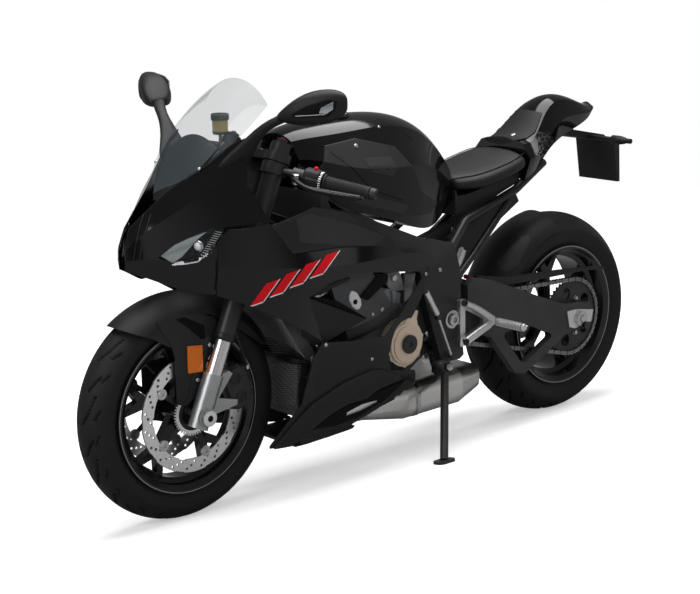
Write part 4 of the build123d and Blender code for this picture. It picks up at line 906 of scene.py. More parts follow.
@dataclass
class Tyre:
    """A tyre with slash grooves cut into its crown."""

    name: str
    node: str
    body: Body
    centre: Flat
    radius: float
    half: float
    drop: float
    bead_half: float
    pitches: int
    flange: float = 222.0
    bead: float = 206.4
    groove_depth: float = 6.0
    steps: int = 600
    crown_points: int = 49
    wall_points: int = 9
    wall_bulge: float = 2.2
    wall_curve: float = 1.8
    rib_depth: float = 0.7
    rib_half: float = 4.0
    # How far the painted-shade film stands off the groove floors, and how deep a cut must be to get it.
    groove_shade_lift: float = 0.001
    groove_shade_share: float = 0.55
    soft_edge: float = 0.6
    # Each slash: start and end as (share of a pitch, share of the half width), then its half width.
    slashes: tuple[tuple[Flat, Flat, float], ...] = (
        ((0.10, 0.10), (0.30, 0.42), 3.4), ((0.30, 0.42), (0.56, 0.62), 3.0),
        ((0.62, 0.20), (0.88, 0.60), 3.2), ((0.20, 0.70), (0.36, 0.92), 2.6),
        ((0.80, 0.72), (0.95, 0.90), 2.4),
    )

    def _groove(self, around: np.ndarray, across: np.ndarray) -> np.ndarray:
        """How deep the tread is cut, from 0 to 1, at places on its surface."""
        pitch = 2 * math.pi * self.radius / self.pitches
        wide = self.half
        depth = np.zeros_like(around)
        for side, shift in ((1, 0.0), (-1, 0.5)):
            local = np.mod(around / pitch + shift, 1.0)
            lateral = across * side / wide
            for (u0, s0), (u1, s1), width in self.slashes:
                for wrap in (-1, 0, 1):
                    du, ds = (u1 - u0) * pitch, (s1 - s0) * wide
                    pu, ps = (local - u0 - wrap) * pitch, (lateral - s0) * wide
                    share = np.clip((pu * du + ps * ds) / (du * du + ds * ds), 0, 1)
                    far = np.hypot(pu - share * du, ps - share * ds)
                    cut = (width + self.soft_edge - far) / (2 * self.soft_edge)
                    depth = np.maximum(depth, np.clip(cut, 0, 1))
        return depth

    def _section(self) -> tuple[list[Point], list[Point]]:
        """The crown and the left wall, in points of (across, radius, way along the crown)."""
        shoulder = self.half - 1.5
        crown = (shoulder ** 2 + self.drop ** 2) / (2 * self.drop)
        edge = math.asin(shoulder / crown)
        tread = [(crown * math.sin(a), self.radius - crown + crown * math.cos(a), crown * a)
                 for a in np.linspace(-edge, edge, self.crown_points)]
        waist = (self.radius - self.drop + self.flange) / 2
        wall = []
        for share in np.linspace(0, 1, self.wall_points)[1:]:
            bulge = math.sin(math.pi * share) * self.wall_bulge
            y = shoulder + (self.bead_half - shoulder) * share ** self.wall_curve + bulge * 0.6
            r = self.radius - self.drop + (self.flange + 1 - self.radius + self.drop) * share
            inset = self.rib_depth if abs(r - waist) < self.rib_half else 0
            wall.append((min(y, self.half) - inset, r, 0.0))
        return tread, wall

    def make(self) -> None:
        """Builds the carcass with its grooves, dresses it, and lays a film of painted shade on the groove
        floors.
        """
        tread, wall = self._section()
        profile = [(-y, r, 0.0) for y, r, _ in reversed(wall)] + tread + wall
        profile += [(self.bead_half - 0.5, self.bead, 0.0), (0.5 - self.bead_half, self.bead, 0.0)]
        angles = np.linspace(0, 2 * math.pi, self.steps, endpoint=False)
        on_tread = np.array([len(wall) <= index < len(wall) + len(tread) for index in range(len(profile))])
        across = np.array([s for _, _, s in profile])
        depth = self._groove(angles[:, None] * self.radius + 0 * across, across + 0 * angles[:, None])
        radii = np.array([r for _, r, _ in profile]) - depth * on_tread * self.groove_depth
        loops = [[on_wheel(self.centre, radii[row, column], angle, y)
                  for column, (y, _, _) in enumerate(profile)]
                 for row, angle in enumerate(angles)]
        carcass = rings(loops, closed=True)
        make_piece(self.name, carcass, TYRE_RUBBER, self.body, SOFT, (self.node,))
        # Painted shade: a deep black film just over the deepest groove floors darkens the tread's cuts.
        axle = Vector((self.centre[0], 0, self.centre[1]))
        outwards = Vector((1, 0, 1)) * self.groove_shade_lift
        groove_shade_film = Shape([point + (point - axle) * outwards for point in carcass.points])
        cut = (depth * on_tread > self.groove_shade_share).ravel()
        groove_shade_film.faces = [face for face in carcass.faces if sum(cut[index] for index in face) >= 3]
        make_piece(f"{self.name}_grooves", groove_shade_film, SHADOW, self.body, SOFT)


@dataclass
class Wheel:
    """The trim of one cast wheel: a painted highlight ring on each flange, and the valve."""

    name: str
    body: Body
    centre: Flat
    half: float
    highlight_radii: Flat = (219.6, 217.4)
    valve_radius: float = 178.0
    valve_angle: float = math.radians(54)

    def make(self) -> None:
        """Adds a painted highlight ring on each flange, and a valve."""
        # Painted highlight: thin grey rings stand for the light that the flange edges catch.
        highlight_rings = Shape()
        outer, inner = self.highlight_radii
        for side in (1, -1):
            y = side * (self.half + 0.2)
            under = y - side * 0.6
            highlight_rings.add(lathe([(y, outer), (y, inner), (under, inner), (under, outer)], self.centre, 160))
        make_piece(f"{self.name}_stripes", highlight_rings, RIM_HIGHLIGHT, self.body)
        root = on_wheel(self.centre, self.valve_radius, self.valve_angle, 6)
        inward = Vector((-math.cos(self.valve_angle), 0.35, -math.sin(self.valve_angle)))
        valve = spun([(0, 4.5), (10, 4), (11, 2.7), (30, 2.7), (31, 3.6), (40, 3.6), (41, 2)],
                     root, inward, 16)
        make_piece(f"{self.name}_valve", valve, BLACK_STEEL, self.body)


@dataclass
class BrakeDiscs:
    """Floating front discs: drilled rings, bobbins and a toothed sensor ring."""

    centre: Flat = (WHEELBASE, FRONT_RADIUS)
    radius: float = 160.0
    band: float = 36.0
    low: float = 63.6
    high: float = 68.4
    hole_radii: tuple[float, ...] = (132.5, 141.5, 150.5)
    hole_rays: int = 20
    arms: int = 5

    def _ring(self) -> Shape:
        """One drilled ring with scalloped edges."""
        outer, inner = [], []
        for angle in turns(180):
            outside = self.radius - 2.2 * (math.cos(angle * 10) > 0.72)
            inside = self.radius - self.band + 3.0 * (math.cos(angle * 10) > 0.6)
            outer.append(on_circle(self.centre, outside, angle))
            inner.append(on_circle(self.centre, inside, angle))
        holes = []
        for ray in range(self.hole_rays):
            for row, radius in enumerate(self.hole_radii):
                angle = 2 * math.pi * (ray + 0.28 * row) / self.hole_rays
                holes.append(circle(4.0, 10, on_circle(self.centre, radius, angle)))
        return cut_plate(outer, [inner, *holes], self.low, self.high)

    def _carrier(self) -> Shape:
        """The black spider that carries the ring."""
        reach = self.radius - self.band + 1
        corners = ((-0.5, 52), (-0.12, 60), (-0.055, reach), (0.055, reach), (0.12, 60))
        outline = [on_circle(self.centre, radius, middle + turn)
                   for middle in turns(self.arms, 0.5) for turn, radius in corners]
        return cut_plate(outline, [circle(34, 40, self.centre)], self.low + 0.6, self.high - 0.6)

    def _sensor(self) -> Shape:
        """The ring of square teeth that the wheel sensor reads."""
        teeth = []
        for step in range(96):
            radius = 61 if step % 2 else 55
            teeth += [on_circle(self.centre, radius, 2 * math.pi * (step + turn) / 96)
                      for turn in (-0.42, 0.42)]
        return cut_plate(teeth, [circle(47, 60, self.centre)], self.high + 0.3, self.high + 1.8)

    def make(self) -> None:
        """Dresses both discs, their bobbins and the sensor ring."""
        make_piece("front_disc_rings", self._ring().both(), DISC_STEEL, Body.FRONT_WHEEL,
                   replaces=("front_discs",))
        make_piece("front_disc_carriers", self._carrier().both(), BLACK_STEEL, Body.FRONT_WHEEL,
                   Look(bevel=0.6))
        bobbins = Shape()
        profile = [(0, 15), (5.4, 15), (6, 14.4), (6, 10), (7.2, 9.6), (7.2, 5), (5, 4.8), (5, 0.1)]
        for angle in turns(self.arms, 0.5):
            bobbins.add(spun(profile, on_wheel(self.centre, 118, angle, self.low), LEFT, 28))
        make_piece("front_disc_bobbins", bobbins.both(), BARE_STEEL, Body.FRONT_WHEEL)
        make_piece("sensor_ring", self._sensor(), DISC_STEEL, Body.FRONT_WHEEL)


# ---------------------------------------------------------------- chain drive


@dataclass
class ChainDrive:
    """The roller chain and its toothed rear sprocket."""

    rear: Flat = (0.0, REAR_RADIUS)
    front: Flat = (684.0, 420.0)
    side: float = 110.0
    pitch: float = 15.875
    teeth: int = 47
    front_radius: float = 46.0
    plate_radius: float = 6.6
    waist: float = 4.8
    arms: int = 5

    def _radius(self) -> float:
        """Pitch radius of the rear sprocket."""
        return self.pitch / (2 * math.sin(math.pi / self.teeth))

    def _path(self) -> list[Vector]:
        """Pin centres round both sprockets, in side view."""
        big, small = self._radius(), self.front_radius
        rise, run = self.front[1] - self.rear[1], self.front[0] - self.rear[0]
        uphill = math.atan2(rise, run)
        contact = math.acos((big - small) / math.hypot(run, rise))
        corners: list[Vector] = []
        for centre, radius, first, sweep in (
            (self.rear, big, uphill + contact, 2 * math.pi - 2 * contact),
            (self.front, small, uphill - contact, 2 * contact),
        ):
            corners += [on_wheel(centre, radius, first + sweep * k / 60, self.side) for k in range(61)]
        corners.append(corners[0])
        lengths = [0.0]
        for a, b in zip(corners, corners[1:]):
            lengths.append(lengths[-1] + (b - a).length)
        count = 2 * round(lengths[-1] / self.pitch / 2)
        path, segment = [], 0
        for index in range(count):
            wanted = lengths[-1] * index / count
            while lengths[segment + 1] < wanted:
                segment += 1
            share = (wanted - lengths[segment]) / (lengths[segment + 1] - lengths[segment])
            path.append(corners[segment].lerp(corners[segment + 1], share))
        return path

    def _link(self, start: Vector, end: Vector, low: float, high: float) -> Shape:
        """One waisted link plate."""
        along = (end - start).normalized()
        up = Vector((-along.z, 0, along.x))
        middle, half = (start + end) / 2, (end - start).length / 2
        outline = []
        for side in (1, -1):
            for angle in (90, 60, 30, 0, -30, -60, -90):
                turn = math.radians(angle)
                spot = middle + (along * (half + self.plate_radius * math.cos(turn))
                                 + up * self.plate_radius * math.sin(turn)) * side
                outline.append((spot.x, spot.z))
            waist = middle - up * self.waist * side
            outline.append((waist.x, waist.z))
        return slab(outline, low, high)

    def make(self) -> None:
        """Builds links, rollers and the sprocket."""
        path = self._path()
        plates, rollers = Shape(), Shape()
        roller = [(0, 2.6), (5.2, 2.6), (5.4, 4.9), (13.8, 4.9), (14, 2.6), (19.2, 2.6)]
        for index, start in enumerate(path):
            end = path[(index + 1) % len(path)]
            offset = 8.4 if index % 2 else 6.2
            for side in (1, -1):
                low, high = sorted((self.side + side * offset, self.side + side * (offset - 1.9)))
                plates.add(self._link(start, end, low, high))
            rollers.add(spun(roller, Vector((start.x, self.side - 9.6, start.z)), LEFT, 10))
        make_piece("chain_links", plates, CHAIN_STEEL, replaces=("drive_chain",))
        make_piece("chain_rollers", rollers, CHAIN_STEEL)
        self._sprocket()

    def _sprocket(self) -> None:
        """The toothed ring with its windows, and its bolts."""
        radius = self._radius()
        tooth = ((-0.5, -4.8), (-0.3, -3.6), (-0.12, 2.4), (0.12, 2.4), (0.3, -3.6))
        outline = [on_circle(self.rear, radius + reach, middle + turn * 2 * math.pi / self.teeth)
                   for middle in turns(self.teeth, 0.5) for turn, reach in tooth]
        holes = [circle(26, 48, self.rear)]
        holes += [circle(19, 28, on_circle(self.rear, 79, angle)) for angle in turns(self.arms)]
        ring = cut_plate(outline, holes, self.side - 3.6, self.side + 3.6)
        make_piece("toothed_sprocket", ring, BLACK_STEEL, Body.REAR_WHEEL, replaces=("rear_sprocket",))
        bolts = Shape()
        for angle in turns(self.arms, 0.5):
            spot = on_wheel(self.rear, 58, angle, self.side + 3)
            bolts.add(spun([(0, 9), (2, 9), (2.2, 7.4), (8, 7), (8.4, 5)], spot, LEFT, 6))
        make_piece("sprocket_bolts", bolts, BARE_STEEL, Body.REAR_WHEEL)


# ---------------------------------------------------------------- front end


@dataclass
class FrontEnd:
    """Fork trim, caliper trim, brake lines and the mudguard's reflectors."""

    rake: float = math.radians(23.1)
    spread: float = 105.0
    caliper_angle: float = math.radians(160)
    caliper_radius: float = 142.0

    def up_fork(self, distance: float, y: float | None = None) -> Vector:
        """A point on the left fork leg, this far up from the axle."""
        side = self.spread if y is None else y
        return Vector((WHEELBASE - distance * math.sin(self.rake), side,
                       FRONT_RADIUS + distance * math.cos(self.rake)))

    def _legs(self) -> None:
        """Seals, caps, adjusters and clamp bolts."""
        axis = self.up_fork(1) - self.up_fork(0)
        seal = spun([(0, 25.4), (5, 28.6), (16, 28.6), (20, 27.5)], self.up_fork(203), axis, 40)
        make_piece("fork_seals", seal.both(), BLACK_STEEL, Body.STEER)
        cap = spun([(0, 25), (5, 25), (6, 23), (8, 23), (8.4, 17)], self.up_fork(735), axis, 40)
        hexagon = spun([(0, 16), (9, 16), (10, 14)], self.up_fork(742), axis, 6)
        screw = spun([(0, 7), (5, 7), (5.5, 5), (4.5, 5), (4.4, 0.1)], self.up_fork(751), axis, 24)
        make_piece("fork_caps", cap.add(hexagon).both(), BLACK_STEEL, Body.STEER)
        make_piece("fork_adjusters", screw.both(), RED_METAL, Body.STEER)
        pinch = Shape()
        for distance in (-16, 6):
            pinch.add(domed_bolt(self.up_fork(distance) + Vector((-26, 6, 0)), Vector((-1, 0.1, -0.2)), 5))
        for distance in (478, 502, 702):
            pinch.add(domed_bolt(self.up_fork(distance) + Vector((22, -14, 9)), Vector((0.92, 0, 0.39)), 5))
        make_piece("pinch_bolts", pinch.both(), BARE_STEEL, Body.STEER)

    def _axle(self) -> None:
        """The nut, face and clamp at each end of the front axle, with a deep black disc of painted shade in the
        bore.
        """
        for name, profile, y, steps, finish in (
            ("axle_nuts", [(0, 20), (3, 20), (4, 18), (4.2, 9), (1, 8.6)], 141, 6, BARE_STEEL),
            ("axle_faces", [(0, 21), (3, 21), (4, 19), (4, 9.5), (0.5, 9)], 141.4, 48, DISC_STEEL),
            # Painted shade: a deep black disc inside the hollow axle's bore.
            ("axle_bore_shade", [(0, 9), (1.8, 9), (2, 0.1)], 143, 24, SHADOW),
            ("axle_clamps", [(0, 22), (2, 26), (8, 26), (10, 22)], 124, 48, FORK_GREY),
        ):
            make_piece(name, spun(profile, self.up_fork(0, y), LEFT, steps).both(), finish, Body.STEER)

    def _calipers(self) -> None:
        """Radial calipers with ribs, piston caps and bolts."""
        body, caps, bolts = Shape(), Shape(), Shape()
        out = Vector((math.cos(self.caliper_angle), 0, math.sin(self.caliper_angle)))
        along = Vector((-math.sin(self.caliper_angle), 0, math.cos(self.caliper_angle)))
        centre = Vector((WHEELBASE, 0, FRONT_RADIUS))
        outline = [(100, -46), (122, -61), (160, -60), (181, -34), (184, 0), (181, 34), (160, 60),
                   (122, 61), (100, 46)]
        for low, high, inset in ((72.5, 91, 0.0), (91, 96, 5.0), (40, 59.5, 0.0)):
            ring = []
            for r, t in outline:
                away = self.caliper_radius + (r - self.caliper_radius) * (1 - inset / 40)
                spot = centre + out * away + along * t * (1 - inset / 60)
                ring.append((spot.x, spot.z))
            body.add(slab(ring, low, high))
        for shift in (-36, 0, 36):
            spot = centre + out * 174 + along * shift
            ring = [spot + out * a + along * b for a, b in ((-11.5, -9), (11, -7), (11, 7), (-11.5, 9))]
            body.add(slab([(p.x, p.z) for p in ring], 52, 88))
        for shift in (-28, 28):
            spot = centre + out * 138 + along * shift + Vector((0, 95, 0))
            caps.add(spun([(0, 17), (3.2, 17), (4, 15.5), (4, 12), (2.6, 11), (2.6, 0.1)], spot, LEFT, 32))
        for shift in (-52, 52):
            spot = centre + out * 112 + along * shift * 0.72 + Vector((0, 92, 0))
            bolts.add(domed_bolt(spot, LEFT, 5.5))
            spot = centre + out * 186 + along * shift * 0.6 + Vector((0, 80, 0))
            bolts.add(domed_bolt(spot, out, 4.5))
        make_piece("caliper_bodies", body.both(), BLACK_STEEL, Body.STEER, Look(bevel=2.2))
        make_piece("caliper_caps", caps.both(), BLACK_STEEL, Body.STEER)
        make_piece("caliper_bolts", bolts.both(), BARE_STEEL, Body.STEER)

    def _lines(self) -> None:
        """Brake hoses down both legs and the sensor cable."""
        hose = smooth_path([self.up_fork(500, 60) + Vector((34, 0, 0)),
                            self.up_fork(410, 78) + Vector((52, 0, 0)),
                            self.up_fork(300, 96) + Vector((10, 0, -6)),
                            self.up_fork(210, 98) + Vector((-44, 0, 0)), (1288, 90, 436), (1272, 84, 392)])
        make_piece("brake_hoses", tube(hose, 4.2, 10).both(), BLACK_STEEL, Body.STEER, SOFT)
        banjo = spun([(0, 7), (12, 7), (13, 5)], Vector((1272, 80, 396)), LEFT, 20)
        make_piece("brake_banjos", banjo.both(), BARE_STEEL, Body.STEER)
        cable = smooth_path([(1392, 84, 306), (1372, 92, 352), self.up_fork(120, 80) + Vector((-30, 0, 0)),
                             self.up_fork(300, 84) + Vector((-36, 0, 0))])
        make_piece("sensor_cable", tube(cable, 2.4, 8), BLACK_STEEL, Body.STEER, SOFT)

    def _guard(self) -> None:
        """The mudguard's open legs with their amber reflectors and screws, and a plate of painted shade behind
        each window.
        """
        leg = ((157, 323), (163, 334), (171.5, 345.5), (175.2, 357), (177.4, 404.9), (186.2, 406),
               (199.4, 393.9), (204.5, 370.4), (208.2, 358.7), (216, 344), (220, 325), (214, 317),
               (192, 313.6), (170, 316))
        window = ((175.5, 319.5), (184, 317), (204.5, 325.5), (205.2, 339), (200.8, 339), (189, 328.6))
        ridge = ((186.5, 405), (191, 398), (194.5, 377), (202, 365), (206.5, 352), (205.5, 351), (200.5, 364),
                 (192.5, 376), (188.5, 397), (184.5, 404))
        reflector = ((187, 346.5), (202, 345), (203, 371.5), (188, 373.5))
        # Painted shade: a deep black plate behind each window stands for the dark space seen through it.
        make_piece("guard_window_shade", pixel_plate(window, 78.6, 1).both(), SHADOW, Body.STEER)
        legs = cut_plate(side_outline(leg, 80), [side_outline(window, 80)], 76.4, 80)
        legs.add(pixel_plate(ridge, 82, 3))
        make_piece("guard_legs", legs.both(), MATT, Body.STEER)
        outline = side_outline(reflector, 82)
        make_piece("fork_reflectors", slab(outline, 78.4, 84.4).both(), AMBER, Body.STEER, Look(bevel=1.0))
        middle_x, middle_z = (sum(axis) / len(outline) for axis in zip(*outline))
        rim = [(middle_x + (x - middle_x) * 1.14, middle_z + (z - middle_z) * 1.08) for x, z in outline]
        make_piece("reflector_frames", slab(rim, 78.2, 81.4).both(), MATT, Body.STEER, Look(bevel=0.8))
        screws = Shape()
        for pixel in ((209.8, 345), (197.7, 380)):
            screws.add(domed_bolt(CAMERA.on_side(pixel, 80), LEFT, 6.5))
        make_piece("guard_screws", screws.both(), BARE_STEEL, Body.STEER)

    def make(self) -> None:
        """Dresses the fork, the calipers, the lines and the mudguard."""
        self._legs()
        self._axle()
        self._calipers()
        self._lines()
        self._guard()


@dataclass
class Cockpit:
    """Grips, switches, levers, the fluid cup and the instruments."""

    start: Point = (1170.93, 130.0, 912.43)
    reach: Point = (-135.0, 213.0, -54.0)
    lever_offsets: tuple[Point, ...] = (
        (24, -4, -4), (34, 36, -14), (26, 80, -26), (-6, 132, -36), (-40, 178, -43), (-46, 190, -42),
    )

    def on_bar(self, share: float) -> Vector:
        """A point along the left handlebar."""
        return Vector(self.start) + Vector(self.reach) * share

    def _grips(self) -> None:
        """Ribbed grips with flanges and end weights."""
        axis = Vector(self.reach)
        length = axis.length * 0.49
        profile = [(0, 17), (1, 21), (5, 21), (6, 16.4)]
        for rib in range(18):
            at = 8 + (length - 16) * rib / 18
            profile += [(at, 15.9), (at + 1.2, 16.8), (at + 3.4, 16.8), (at + 4.6, 15.9)]
        profile += [(length - 3, 17.6), (length, 16)]
        make_piece("ribbed_grips", spun(profile, self.on_bar(0.45), axis, 40).both(), GRIP, Body.STEER,
                   replaces=("hand_grips",))
        weight = spun([(0, 15.5), (2, 16), (14, 15.2), (16, 13), (16.2, 6), (14, 5.6), (14, 0.1)],
                      self.on_bar(0.945), axis, 40)
        make_piece("bar_weights", weight.both(), SATIN_GREY, Body.STEER)
        ring = spun([(0, 21.5), (1, 22.6), (8, 22.6), (9, 21.5)], self.on_bar(0.405), axis, 48)
        teeth = Shape()
        side = axis.normalized().orthogonal().normalized()
        third = axis.normalized().cross(side)
        for angle in turns(24):
            spot = self.on_bar(0.407) + (side * math.cos(angle) + third * math.sin(angle)) * 22.4
            teeth.add(spun([(0, 1.5), (7, 1.5)], spot, axis, 8))
        make_piece("bar_rings", ring.both(), BLACK_STEEL, Body.STEER)
        make_piece("bar_ring_teeth", teeth.both(), BARE_STEEL, Body.STEER)

    def _switches(self) -> None:
        """A switch box on each bar with its buttons."""
        along = Vector(self.reach).normalized()
        back = Vector((-0.72, -0.45, 0.1))
        back = (back - along * back.dot(along)).normalized()
        up = back.cross(along) * -1
        up = up if up.z > 0 else -up
        box, keys, stop = Shape(), Shape(), Shape()
        middle = self.on_bar(0.335)
        ring = [(squared(math.cos(angle), 0.7) * (25 + 4 * math.cos(angle)),
                 squared(math.sin(angle), 0.7) * 26)
                for angle in turns(16)]
        loops = []
        for shift, grow in ((-25, 0.82), (-21, 1.0), (16, 1.0), (21, 0.86)):
            loops.append([middle + along * shift + back * a * grow + up * b * grow for a, b in ring])
        box.add(rings(loops))
        for shift, rise, wide in ((-12, 12, 7), (4, 12, 6), (-10, -8, 9), (8, -9, 6)):
            spot = middle + along * shift + up * rise + back * 25
            keys.add(spun([(0, wide), (5, wide), (7, wide * 0.8)], spot, back, 20))
        spot = middle + along * 2 + back * 6 + up * 24
        stop.add(spun([(0, 6), (6, 6), (8, 4.5)], spot, up, 20))
        make_piece("switch_boxes", box.both(), MATT, Body.STEER, Look(bevel=1.2))
        make_piece("switch_keys", keys.both(), BLACK_STEEL, Body.STEER)
        make_piece("switch_stops", stop.both(), RED, Body.STEER)

    def _levers(self) -> None:
        """Blade levers on their pivots."""
        root = self.on_bar(0.2)
        path = smooth_path([root + Vector(offset) for offset in self.lever_offsets])
        count = len(path)
        radii = [7.2 if index < count * 0.4 else 7.2 - 1.6 * (index / count - 0.4) for index in range(count)]
        make_piece("lever_blades", tube(path, radii, 14, 0.62).both(), BLACK_STEEL, Body.STEER, SOFT)
        pivot = spun([(0, 9), (26, 9), (27, 6)], Vector((root.x + 22, root.y + 2, root.z - 18)),
                     Vector((0, 0.2, 1)), 24)
        make_piece("lever_pivots", pivot.both(), BARE_STEEL, Body.STEER)

    def _reservoir(self) -> None:
        """The fluid cup with a fluid window and a ribbed cap."""
        at = Vector((1176, -126, 994))
        make_piece("fluid_cup", spun([(2, 21.3), (32, 21.6)], at, UP, 40), FLUID, Body.STEER)
        cap = [(33, 24.4), (36, 25), (48, 25), (51, 23.5), (51, 15), (50, 14.6), (50, 0.1)]
        make_piece("fluid_cap", spun(cap, at, UP, 12), MATT, Body.STEER, Look(bevel=1.0))
        base = [(-6, 12), (-5, 20), (3, 22.2), (4, 21.2)]
        make_piece("fluid_base", spun(base, at, UP, 40), BLACK_STEEL, Body.STEER)

    def _instruments(self) -> None:
        """The display on its shroud below the screen."""
        outline = [(1318, 922), (1322, 932), (1262, 988), (1254, 980)]
        make_piece("display_case", slab(outline, -84, 84), BLACK_STEEL, look=Look(bevel=3))
        glass = [(1314, 933.5), (1316, 935), (1268, 978), (1266, 976.6)]
        make_piece("display_glass", slab([(x - 4.4, z - 5) for x, z in glass], -76, 76), GLOSS)
        key = spun([(0, 14), (8, 14), (9, 11), (9, 3), (7, 2.5), (7, 0.1)], Vector((1132, 0, 946)),
                   Vector((-0.39, 0, 0.92)), 32)
        make_piece("steering_lock", key, BARE_STEEL, Body.STEER)

    def make(self) -> None:
        """Dresses the bars, the fluid cup and the instruments."""
        self._grips()
        self._switches()
        self._levers()
        self._reservoir()
        self._instruments()


# ---------------------------------------------------------------- bodywork


@dataclass
class Mirrors:
    """Rounded mirror heads on bent arms, each with a slim indicator."""

    stations: tuple[tuple[float, float, float, float, float], ...] = (
        (262, 1296, 1252, 1064, 1082), (280, 1303, 1226, 1060, 1096), (300, 1303, 1208, 1056, 1114),
        (322, 1296, 1200, 1054, 1131), (348, 1284, 1196, 1056, 1143), (380, 1264, 1195, 1063, 1148),
        (405, 1246, 1195, 1074, 1145), (420, 1230, 1196, 1085, 1137), (428, 1216, 1200, 1098, 1126),
    )

    arm: tuple[tuple[Point, float, float], ...] = (
        ((1334, 116, 932), 54, 17), ((1324, 140, 962), 46, 16), ((1311, 172, 1000), 28, 14),
        ((1303, 206, 1035), 15.5, 12), ((1291, 240, 1058), 16, 12), ((1262, 290, 1082), 24, 14),
    )

    def _head(self) -> Shape:
        """The left housing: flat behind, rounded in front."""
        loops = []
        for y, front, rear, low, high in self.stations:
            ring = []
            for angle in turns(24):
                cosine, sine = math.cos(angle), math.sin(angle)
                power = 0.95 if cosine > 0 else 0.45
                ring.append(Vector(((front + rear) / 2 + (front - rear) / 2 * squared(cosine, power), y,
                                    (low + high) / 2 + (high - low) / 2 * squared(sine, 0.8))))
            loops.append(ring)
        return rings(loops)

    def make(self) -> None:
        """Builds housings, arms, glasses and indicators, with painted shade in each indicator's slot."""
        head = self._head()
        arm = [[Vector((x + wide * math.cos(angle), y + 0.7 * thin * math.sin(angle),
                        z - 0.7 * thin * math.sin(angle))) for angle in turns(20)]
               for (x, y, z), wide, thin in self.arm]
        make_piece("mirror_heads", head.both(), MATT, look=Look(crease_angle=70, rounds=1),
                   replaces=("mirrors",))
        make_piece("mirror_arms", rings(arm).both(), MATT, look=Look(crease_angle=70, rounds=1))
        glass = []
        for y, _, rear, low, high in self.stations[3:-2]:
            glass.append([Vector((rear - 1.5, y, low + 9)), Vector((rear - 1.5, y, high - 9)),
                          Vector((rear + 3, y, high - 9)), Vector((rear + 3, y, low + 9))])
        make_piece("mirror_glasses", rings(glass).both(), MIRROR_GLASS)
        skin = Skin.of(head)
        # Painted shade: a deep black film on the rounded housing stands for the indicator's recessed slot.
        slot_shade_outline = [(291, 114.5), (306.8, 106), (327.9, 99.6), (337, 101.3), (335.5, 109.7), (328, 116.5),
                  (307, 117.6), (294, 117.6)]
        make_piece("mirror_slot_shade", skin.draped(slot_shade_outline, 0.5, step=3).both(), SHADOW, look=SOFT)
        lit = skin.draped([(321, 107.8), (333.4, 101.6), (333, 108.6), (327, 113.6),
                           (319, 113.2)], 0.9, step=3)
        lit.add(skin.line([(295, 116), (308, 115.4), (324, 114.4), (333, 109)], 0.45, 1.0))
        make_piece("mirror_indicators", lit.both(), LAMP_SILVER, look=SOFT)


@dataclass
class Headlamps:
    """Slim lamps set under the brow: a dark bowl, a projector, fins and a clear lens."""

    outline: tuple[Flat, ...] = ((159.5, 256), (174.8, 243.7), (190, 236.5), (209.2, 229.3), (224.5, 230.3),
                                 (221, 239), (214, 250), (207.3, 257), (197.8, 261.8), (172.9, 264.7))

    def make(self) -> None:
        """Builds both lamps over the CAD blocks."""
        skin = Skin("headlamps", "nose_fairing")
        make_piece("lamp_lenses", skin.draped(list(self.outline), 5.0, step=3).both(), LENS, look=SOFT,
                   replaces=("headlamps",))
        make_piece("lamp_bowls", skin.draped(list(self.outline), 1.2, step=3).both(), SHADOW, look=SOFT)
        shade = skin.draped([(161, 256), (174.8, 245), (190, 238), (207, 231.8), (198, 239),
                             (190, 248), (182, 257), (173, 262.6)], 3.2, step=3)
        make_piece("lamp_shades", shade.both(), LAMP_GREY, look=SOFT)
        eye = skin.seen((197.5, 246.5))
        if eye:
            place, _ = eye
            aim = Vector((0.93, 0.28, -0.05)).normalized()
            ring = spun([(-10, 16), (0, 16.5), (2, 15.5), (2, 13), (-2, 12.5)], place, aim, 40)
            dome = spun([(-8, 12.5), (0, 12), (4, 9.5), (6, 5), (6.5, 0.2)], place, aim, 32)
            make_piece("lamp_projector_rings", ring.both(), CHROME, look=SOFT)
            make_piece("lamp_projectors", dome.both(), PALE, look=SOFT)
        fins = Shape()
        for index in range(12):
            u, v = 222.5 - 14.5 * index / 11, 232 + 23 * index / 11
            fins.add(skin.line([(u - 7, v - 0.6), (u - 0.6, v + 0.8)], 0.4, 4.0))
        make_piece("lamp_fins", fins.both(), LAMP_SILVER)
        strip = skin.line([(172.5, 264), (185, 263.2), (197.8, 261), (208, 252.8)], 0.7, 5.0)
        make_piece("lamp_strips", strip.both(), PALE)


class Screen:
    """The dark inner cover and the fixings of the windscreen."""

    def make(self) -> None:
        """Builds the cover under the screen's lower half and its screws."""
        stations = ((1486, 870, 8, 864), (1455, 905, 50, 892), (1410, 957, 92, 932), (1375, 1000, 112, 962),
                    (1350, 1022, 102, 986))
        loops = []
        for x, crown, half, edge in stations:
            shares = [step / 6 - 1 for step in range(13)]
            row = [(half * share, edge + (crown - edge) * (1 - share * share)) for share in shares]
            top = [Vector((x, y, z - 6)) for y, z in row]
            loops.append(top + [Vector((x, y, z - 9)) for y, z in reversed(row)])
        make_piece("screen_cover", rings(loops), MATT, look=SOFT)
        skin = Skin("windscreen")
        make_piece("screen_screws", skin.screws(((199, 169, 4.6), (176, 188, 4.6))).both(), BARE_STEEL)
        rim = skin.line([(150, 193), (153, 198), (158, 198.5), (180, 185), (199, 171), (212, 156),
                         (224, 142)], 0.7)
        make_piece("screen_edges", rim, GLOSS, look=SOFT)


